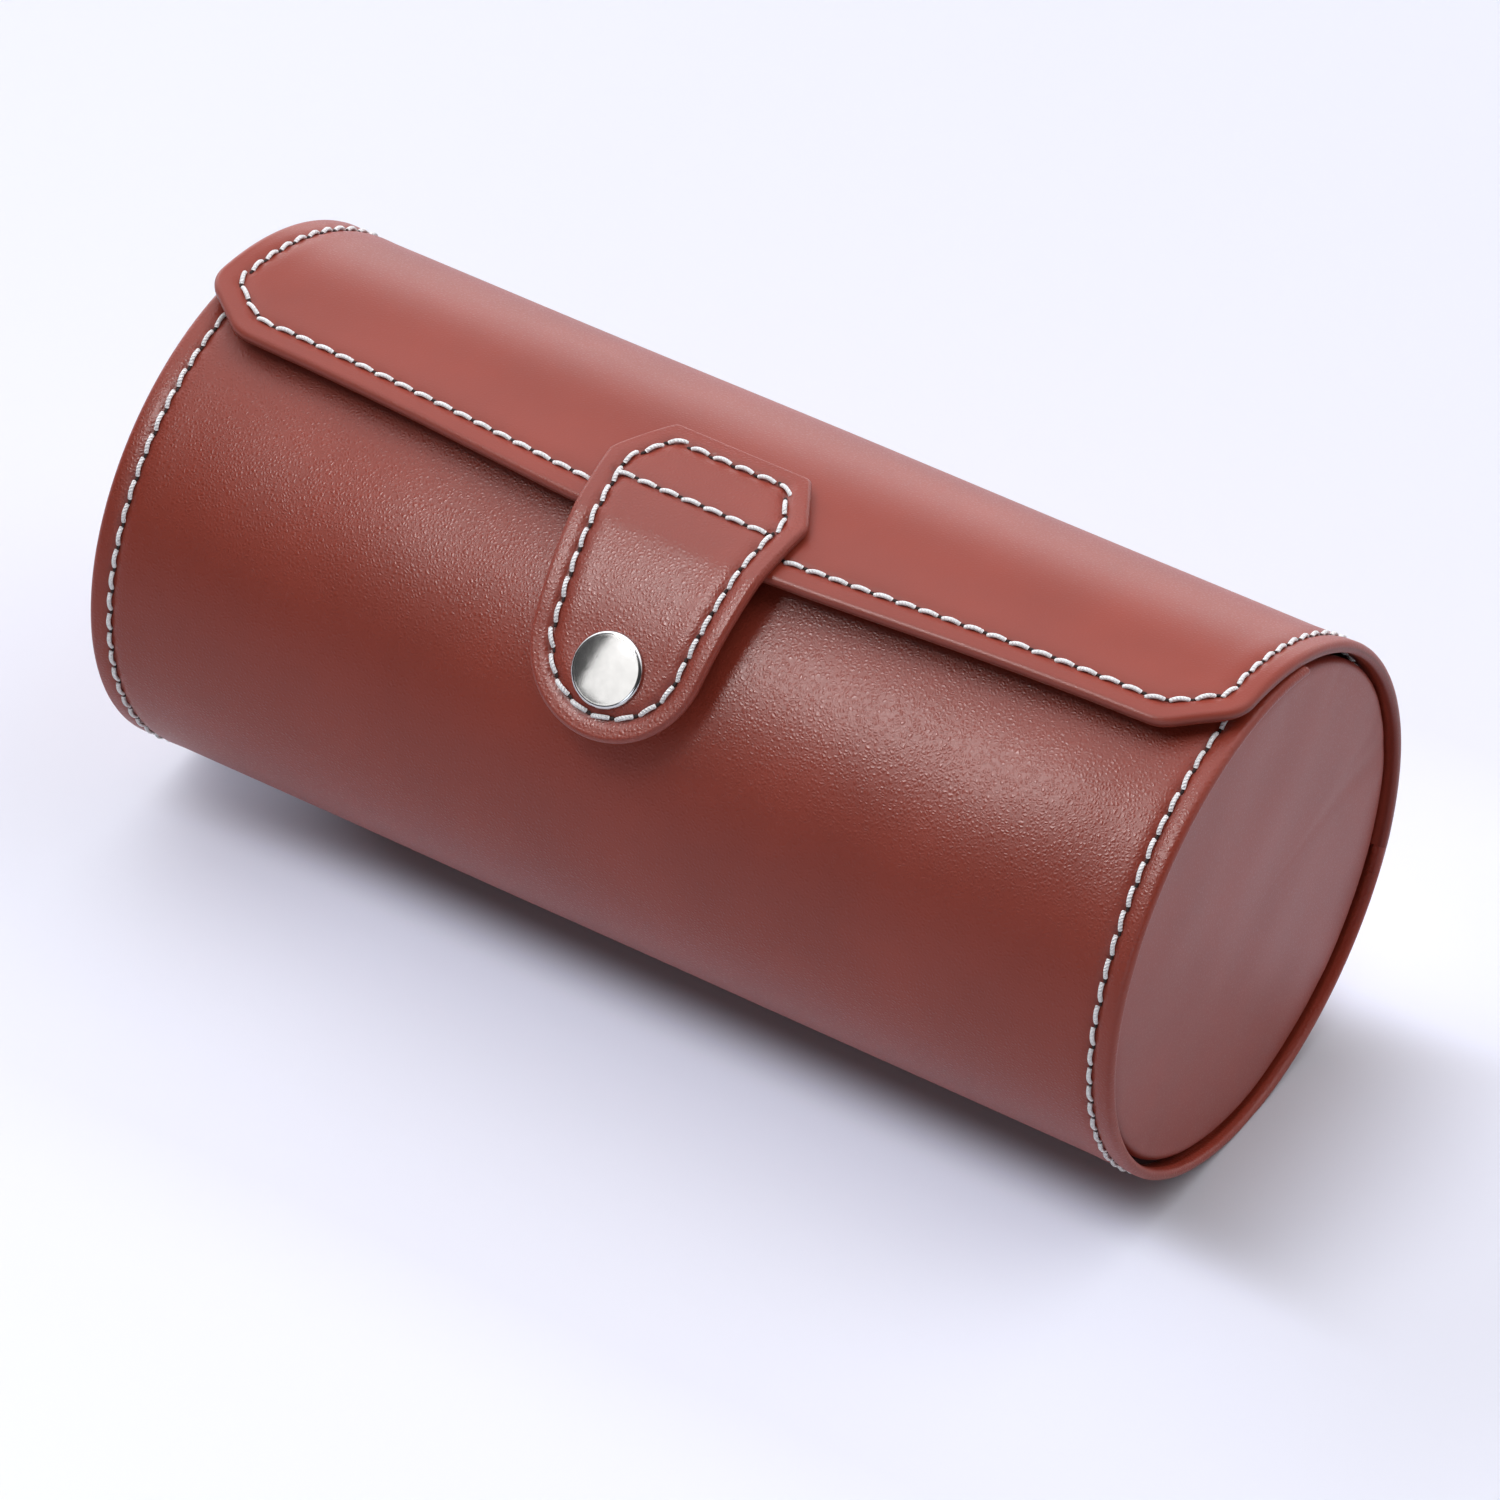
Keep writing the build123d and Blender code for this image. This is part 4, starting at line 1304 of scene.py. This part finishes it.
def round_sheet(name, radius, faces_x, soft, finish, crown=0.0, wrinkle=0.0):
    """Disc across the roll, from its back face to its visible face along X."""
    back_x, face_x = faces_x
    side, thickness = np.sign(face_x - back_x), abs(face_x - back_x)
    distance = np.concatenate([np.array(EDGE_STEPS), np.linspace(8.5, radius, DISC_RINGS)])
    angle = np.linspace(0, 360, DISC_TURNS, endpoint=False)
    r, a = np.meshgrid(radius - distance, angle, indexing="ij")
    edge = radius - r
    fall = edge_fall(edge, soft)
    flat = r[..., None] * direction(a)
    rise = crown * (1 - (r / radius) ** 2) + waves(flat[..., 0] * 2, flat[..., 1] * 2, 6, wrinkle)
    for at, reach, width, depth, slant in RIM_FOLDS:
        off = (a - at) / width + slant * edge
        rise = rise - depth * wrinkle * hill(off, 1) * hill(edge, reach)
    top = thickness - fall + rise * np.clip(edge / 2.5, 0, 1)
    if soft * 2 <= thickness:
        low = fall
        top[0] = low[0] = thickness / 2
    else:
        low = np.zeros(r.shape)
        low[0] = top[0]

    def lay(height):
        return in_space(back_x + side * height, flat)

    return rings(name, lay(top), lay(low), finish, {"edge": np.zeros(r.shape)})


# Discs: radius, and where their two faces stand from the roll's middle
PAD_RADIUS, PAD_BACK, PAD_FACE = 43.6, 95.5, 98.2
END_LINING_RADIUS, END_LINING_BACK, BAY_END = 42.8, 93.5, 92.7
DIVIDER_RADIUS, DIVIDER_AT, DIVIDER_HALF = 42.0, 31.4, 1.5
SIDES = ((-1, "left"), (1, "right"))


class WATCHROLL_OT_ends(bpy.types.Operator):
    """End discs of padded leather inside the rims, and the lining discs behind them"""

    bl_idname = "watch_roll.ends"
    bl_label = "End Discs"

    def execute(self, context):
        prepare()
        for side, word in SIDES:
            pad = round_sheet(
                f"{word}_end_disc", PAD_RADIUS, (side * PAD_BACK, side * PAD_FACE), 1.6,
                finishes["disc"], crown=0.5, wrinkle=0.4,
            )
            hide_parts(f"{word}_end_cover")
            lining = round_sheet(
                f"{word}_end_lining_disc", END_LINING_RADIUS,
                (side * END_LINING_BACK, side * BAY_END), 0.4, finishes["suede"], wrinkle=0.05,
            )
            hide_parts(f"{word}_end_lining")
            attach(pad, "case")
            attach(lining, "case")
            # Painted shade on the end board, seen in the gap round the disc
            paint_node(f"{word}_end_board", finishes["stained"])
        return {"FINISHED"}


class WATCHROLL_OT_lining(bpy.types.Operator):
    """Lining of the tube wall and covers of the two dividers"""

    bl_idname = "watch_roll.lining"
    bl_label = "Lining"

    def execute(self, context):
        prepare()
        x, down = np.meshgrid(
            steps(2 * BAY_END, 2.6, (0,), (0,)) - BAY_END,
            np.linspace(1.0, body_length(), 120), indexing="ij",
        )
        lining = leather_sheet(
            "tube_lining", tube_place, x, down, plan.lining, finishes["suede"],
            edge=np.full(x.shape, 50.0), level=plan.board_inner - plan.radius,
            relief=waves(x, down, 9, 0.04),
        )
        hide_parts("body_lining")
        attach(lining, "case")
        # Painted shade on the tube's board, seen at its rim
        paint_node("body_board", finishes["stained"])
        for side, word in SIDES:
            faces_x = (side * DIVIDER_AT - DIVIDER_HALF, side * DIVIDER_AT + DIVIDER_HALF)
            cover = round_sheet(
                f"{word}_divider_piece", DIVIDER_RADIUS, faces_x, 1.4, finishes["suede"],
                wrinkle=0.08,
            )
            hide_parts(f"{word}_divider_cover")
            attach(cover, "case")
            paint_node(f"{word}_divider_board", finishes["board"])
        return {"FINISHED"}


CUSHION_LENGTH, CUSHION_PITCH = 56.2, 62.8
CUSHION_HALF_WIDTH, CUSHION_HALF_HEIGHT, CUSHION_CROWN = 31.0, 24.0, 40.0
CUSHION_ANGLE, CUSHION_MIDDLE = 155.25, -17.7
CUSHION_SEAM_BACK, CUSHION_SEAM_IN, SEAM_THICK = 1.3, 1.75, 0.75


def cushion_oval(inset, count=96):
    """Section of a cushion, four arcs that meet smoothly, evenly spaced points."""
    width, height = CUSHION_HALF_WIDTH - inset, CUSHION_HALF_HEIGHT - inset
    crown = CUSHION_CROWN - inset
    drop = crown - height
    side = (crown**2 - width**2 - drop**2) / (2 * (crown - width))
    meet = math.atan2(width - side, drop)
    over = np.linspace(-meet, meet, 60)
    round_side = np.linspace(math.pi / 2 - meet, meet - math.pi / 2, 80)[1:-1]
    top = np.stack([crown * np.sin(over), crown * np.cos(over) - drop], -1)
    right = np.stack([width - side + side * np.cos(round_side), side * np.sin(round_side)], -1)
    loop = np.concatenate([top, right, -top, -right, top[:1]])
    return even(loop, length_of(loop) / count)[:count]


def cushion_space(x, section):
    """Points of a cushion's section as points of the part."""
    out = direction(CUSHION_ANGLE)
    across = np.array((out[1], -out[0]))
    return in_space(x, section[..., :1] * across + (section[..., 1:] + CUSHION_MIDDLE) * out)


def cushion_start():
    """Slightly small closed cushion, from which the fabric is blown up."""
    half = CUSHION_LENGTH / 2 - 0.9
    stations = [(-half, 6.0), (-half, 2.9), (-half + 2, 1.9), (-half + 7, 1.3), (0, 1.0)]
    stations += [(-x, inset) for x, inset in stations[-2::-1]]
    loops = [cushion_space(x, cushion_oval(inset)) for x, inset in stations]
    points = np.concatenate(loops)
    index = np.arange(len(points)).reshape(len(loops), -1)
    faces = [*quads(index, True), index[0], index[-1][::-1]]
    return clean(new_object("cushion_start", points, faces, finishes["cushion"]))


def mesh_points(mesh):
    """Places of a mesh's points, in metres."""
    points = np.zeros(len(mesh.vertices) * 3)
    mesh.vertices.foreach_get("co", points)
    return points.reshape(-1, 3)


def blown_up(start, frames=20, cap=2.0):
    """The cushion after its fabric has been pressed out from inside, as points."""
    rest = mesh_points(start.data)
    cloth = start.modifiers.new("Fabric", "CLOTH")
    settings = cloth.settings
    settings.use_pressure = True
    settings.uniform_pressure_force = 4.0
    settings.effector_weights.gravity = 0.0
    settings.quality = 6
    settings.mass = 0.3
    cloth.point_cache.frame_start, cloth.point_cache.frame_end = 1, frames
    for count in range(1, frames + 1):
        bpy.context.scene.frame_set(count)
    seen = bpy.context.evaluated_depsgraph_get()
    shift = mesh_points(start.evaluated_get(seen).data) - rest
    start.modifiers.remove(cloth)
    bpy.context.scene.frame_set(1)
    length = np.linalg.norm(shift, axis=1, keepdims=True)
    return rest + shift * np.minimum(1, cap * MM / np.maximum(length, 1e-9))


def applied(thing, kind, **settings):
    """Adds a modifier, applies it to the mesh and returns the object."""
    modifier = thing.modifiers.new(kind, kind)
    for key, value in settings.items():
        setattr(modifier, key, value)
    seen = bpy.context.evaluated_depsgraph_get()
    shaped = bpy.data.meshes.new_from_object(thing.evaluated_get(seen), depsgraph=seen)
    thing.modifiers.clear()
    thing.data = shaped
    return thing


def seam_ring(x, section_points):
    """Rolled seam round a cushion's end, as points and faces of a thin closed tube."""
    count, sides = len(section_points), 8
    out = section_points - section_points.mean(0)
    out /= np.linalg.norm(out, axis=1, keepdims=True)
    turns = np.linspace(0, 2 * math.pi, sides, endpoint=False)[None, :, None]
    ring = np.cos(turns) * out[:, None] + np.sin(turns) * np.array((x, 0, 0))
    index = np.arange(count * sides).reshape(count, sides)
    index = np.concatenate([index, index[:1]])
    return (section_points[:, None] + SEAM_THICK * ring).reshape(-1, 3), quads(index, True)


class WATCHROLL_OT_cushions(bpy.types.Operator):
    """Three stuffed suede cushions, blown up as cloth and closed with rolled seams"""

    bl_idname = "watch_roll.cushions"
    bl_label = "Cushions"

    def execute(self, context):
        prepare()
        start = applied(cushion_start(), "REMESH", mode="VOXEL", voxel_size=0.0045)
        start.data.vertices.foreach_set("co", blown_up(start).ravel())
        applied(start, "SUBSURF", levels=1, render_levels=1)
        points = mesh_points(start.data) / MM
        faces = [list(f.vertices) for f in start.data.polygons]
        bpy.data.objects.remove(start)
        half = CUSHION_LENGTH / 2
        out = points - cushion_space(0.0, np.zeros(2))
        out[:, 0] = 0
        out /= np.maximum(np.linalg.norm(out, axis=1, keepdims=True), 1e-6)
        x, y, z = points.T
        swell = 1 - np.clip(np.abs(x) / half, 0, 1) ** 2
        for shift, word in ((-1, "left"), (0, "middle"), (1, "right")):
            at = shift * CUSHION_PITCH
            fold = waves(x * 2.2, (y + z) * 1.6, 20 + shift, 0.5) * swell
            all_points = [points - out * np.abs(fold)[:, None] + (at, 0, 0)]
            all_faces, base = list(faces), len(points)
            for side in (-1, 1):
                seam_x = at + side * (half - CUSHION_SEAM_BACK)
                section = cushion_space(seam_x, cushion_oval(CUSHION_SEAM_IN))
                ring, ring_faces = seam_ring(side, section)
                all_points.append(ring)
                all_faces += list(ring_faces + base)
                base += len(ring)
            cushion = clean(new_object(
                f"{word}_cushion", np.concatenate(all_points), all_faces, finishes["cushion"]
            ))
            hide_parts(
                *(f"{word}_cushion_{part}" for part in ("sleeve", "core", "ends"))
            )
            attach(cushion, f"{word}_cushion")
        return {"FINISHED"}


# Stage, in metres

CAMERA_AZIMUTH, CAMERA_ELEVATION, CAMERA_LENS = 33.14, 41.78, 209.6
CAMERA_BACK, CAMERA_RIGHT, CAMERA_UP, CAMERA_AIM_UP = 1.44696, 0.001482, -0.009548, 0.0456

# Name, place, aim, width and height, watts and colour
LAMPS = (
    ("Front Softbox", (-0.2, -0.3, 0.7), (0, -0.03, 0.08), (0.22, 0.22), 0.7, (1, 1, 1)),
    ("Front Fill", (0.3, -1.1, 0.35), (0, 0, 0.05), (0.5, 0.4), 1.7, (0.8, 0.88, 1.0)),
)
# Cards that show only as a sheen: along the flap's back, right of the tab, on the cap
CARDS = (
    ("Back Card", (-0.5, 1.1, 0.22), (0, 0, 0.09), (2.4, 0.4), 8.5, (1, 1, 1)),
    ("Sheen Card", (-0.067, -0.172, 0.313), (0.055, -0.03, 0.082), (0.06, 0.1), 0.75, (1, 1, 1)),
    ("Snap Card", (-0.09, -0.276, 0.238), (0, -0.039, 0.079), (0.14, 0.12), 0.075, (1, 1, 1)),
)

# Side view of the floor, from in front of the roll to the top of the backdrop
FLOOR_RUN = ((-6, 0), (-2, 0), (2, 0), (3, 0.1), (3.8, 0.6), (4.2, 1.5), (4.3, 4))
FLOOR_HALF_WIDTH, FLOOR_DROP = 7, 0.00005


def add_lamp(name, place, aim, size, power, colour):
    """Rectangular lamp that faces a point."""
    lamp = bpy.data.lights.new(name, "AREA")
    lamp.shape, lamp.size, lamp.size_y = "RECTANGLE", *size
    lamp.energy, lamp.color = power, colour
    thing = put_in(name, lamp)
    thing.location = place
    thing.rotation_euler = (Vector(aim) - Vector(place)).to_track_quat("-Z", "Y").to_euler()
    return thing


def studio_world():
    """Soft white dome, brightest overhead and behind the roll and dim behind the camera."""
    world = bpy.data.worlds.new("Studio")
    world.use_nodes = True
    new = Nodes(world.node_tree)
    place = new.add("ShaderNodeTexCoord").outputs["Generated"]
    toward = new.add(
        "ShaderNodeVectorMath", {0: place, 1: (-0.25, 1.0, 0.45)}, operation="DOT_PRODUCT"
    ).outputs["Value"]
    strength = new.remap(toward, -0.05, 0.7, 0.055, 2.65, smooth=True)
    sky = world.node_tree.nodes["Background"]
    new.give(sky, {"Color": (0.95, 0.95, 1.0, 1), "Strength": strength})
    return world


def pale_paper():
    """Pale floor, darker far in front. The camera and gloss see it lifted to the backdrop's
    white, except next to the roll, where the missing lift is a painted shadow, and with
    painted light that lifts the roll's shadow further out in front."""
    new = Finish("Pale Floor")
    y = new.add("ShaderNodeSeparateXYZ", {0: new.place}).outputs["Y"]
    paper = new.mix(new.remap(y, -1.3, -0.3), (0.15, 0.15, 0.17, 1), (0.61, 0.61, 0.64, 1))
    rays = new.add("ShaderNodeLightPath").outputs
    seen = new.maths("MAXIMUM", rays["Is Camera Ray"], rays["Is Glossy Ray"])
    # Distance from the roll, shorter past its ends
    moved = new.vector("ADD", {0: new.place, 1: (-0.02, 0, 0)})
    apart = new.vector("ABSOLUTE", {0: moved})
    sides = new.add("ShaderNodeSeparateXYZ", {0: apart}).outputs
    away = new.maths("SMOOTH_MAX", sides["Y"], new.maths("MULTIPLY", sides["X"], 0.3), 0.008)
    # Painted shadow: no lift close to the roll. Painted light: extra lift over the roll's shadow
    # further out in front, fading past its ends
    rise = new.remap(away, 0.023, 0.039, smooth=True)
    fall = new.remap(away, 0.045, 0.1, 0.22, 0.0)
    along = new.remap(sides["X"], 0.06, 0.15, 1.0, 0.0, smooth=True)
    lift_with_painted_shadow = new.maths("MULTIPLY", rise, new.maths("MULTIPLY_ADD", fall, along, 0.2))
    lift_colour_with_painted_shadow = new.mix(new.maths("MULTIPLY", seen, lift_with_painted_shadow), (0, 0, 0, 1), (0.95, 1.0, 1.25, 1))
    return new.done({
        "Base Color": paper, "Emission Color": lift_colour_with_painted_shadow, "Emission Strength": 1.0, "Roughness": 0.6,
    })


def add_camera():
    """Camera at the photograph's angle."""
    a, e = math.radians(CAMERA_AZIMUTH), math.radians(CAMERA_ELEVATION)
    back = Vector((math.sin(a) * math.cos(e), -math.cos(a) * math.cos(e), math.sin(e)))
    right = Vector((math.cos(a), math.sin(a), 0))
    up = back.cross(right)
    lens = bpy.data.cameras.new("Camera")
    lens.lens, lens.sensor_width = CAMERA_LENS, 36.0
    lens.clip_start, lens.clip_end = 0.05, 50.0
    camera = put_in("Camera", lens)
    place = back * CAMERA_BACK + right * CAMERA_RIGHT + up * CAMERA_UP
    place.z += CAMERA_AIM_UP
    turn = Matrix((right, up, back)).transposed().to_4x4()
    camera.matrix_world = Matrix.Translation(place) @ turn
    bpy.context.scene.camera = camera


class WATCHROLL_OT_stage(bpy.types.Operator):
    """Pale floor, soft studio light and the camera"""

    bl_idname = "watch_roll.stage"
    bl_label = "Stage"

    def execute(self, context):
        context.scene.view_settings.view_transform = "Standard"
        points = [
            (side * FLOOR_HALF_WIDTH / MM, y / MM, (z - FLOOR_DROP) / MM)
            for y, z in FLOOR_RUN for side in (-1, 1)
        ]
        faces = [(2 * k, 2 * k + 1, 2 * k + 3, 2 * k + 2) for k in range(len(FLOOR_RUN) - 1)]
        floor = new_object("floor", points, faces, pale_paper())
        context.scene.world = studio_world()
        for lamp in LAMPS:
            add_lamp(*lamp)
        for card in CARDS:
            made = add_lamp(*card)
            made.visible_diffuse = made.visible_camera = False
        add_camera()
        return {"FINISHED"}


class WATCHROLL_PT_pieces(bpy.types.Panel):
    """Sizes and colours of the roll, and a button for each piece"""

    bl_label = "Watch Roll"
    bl_idname = "WATCHROLL_PT_pieces"
    bl_space_type = "VIEW_3D"
    bl_region_type = "UI"
    bl_category = "Watch Roll"

    def draw(self, context):
        for group in (context.scene.roll_sizes, context.scene.roll_colours):
            box = self.layout.box()
            for name in group.__annotations__:
                box.prop(group, name)
        for operator in OPERATORS:
            self.layout.operator(operator.bl_idname)


OPERATORS = (
    WATCHROLL_OT_tube,
    WATCHROLL_OT_hinge,
    WATCHROLL_OT_flap,
    WATCHROLL_OT_tab,
    WATCHROLL_OT_snap,
    WATCHROLL_OT_ends,
    WATCHROLL_OT_lining,
    WATCHROLL_OT_cushions,
    WATCHROLL_OT_stage,
)
CLASSES = (RollSizes, RollColours, *OPERATORS, WATCHROLL_PT_pieces)


def register():
    for kind in CLASSES:
        bpy.utils.register_class(kind)
    bpy.types.Scene.roll_sizes = PointerProperty(type=RollSizes)
    bpy.types.Scene.roll_colours = PointerProperty(type=RollColours)


def unregister():
    del bpy.types.Scene.roll_sizes
    del bpy.types.Scene.roll_colours
    for kind in reversed(CLASSES):
        bpy.utils.unregister_class(kind)


def main():
    register()
    bpy.ops.watch_roll.tube()
    bpy.ops.watch_roll.hinge()
    bpy.ops.watch_roll.flap()
    bpy.ops.watch_roll.tab()
    bpy.ops.watch_roll.snap()
    bpy.ops.watch_roll.ends()
    bpy.ops.watch_roll.lining()
    bpy.ops.watch_roll.cushions()
    bpy.ops.watch_roll.stage()


if __name__ == "__main__":
    main()
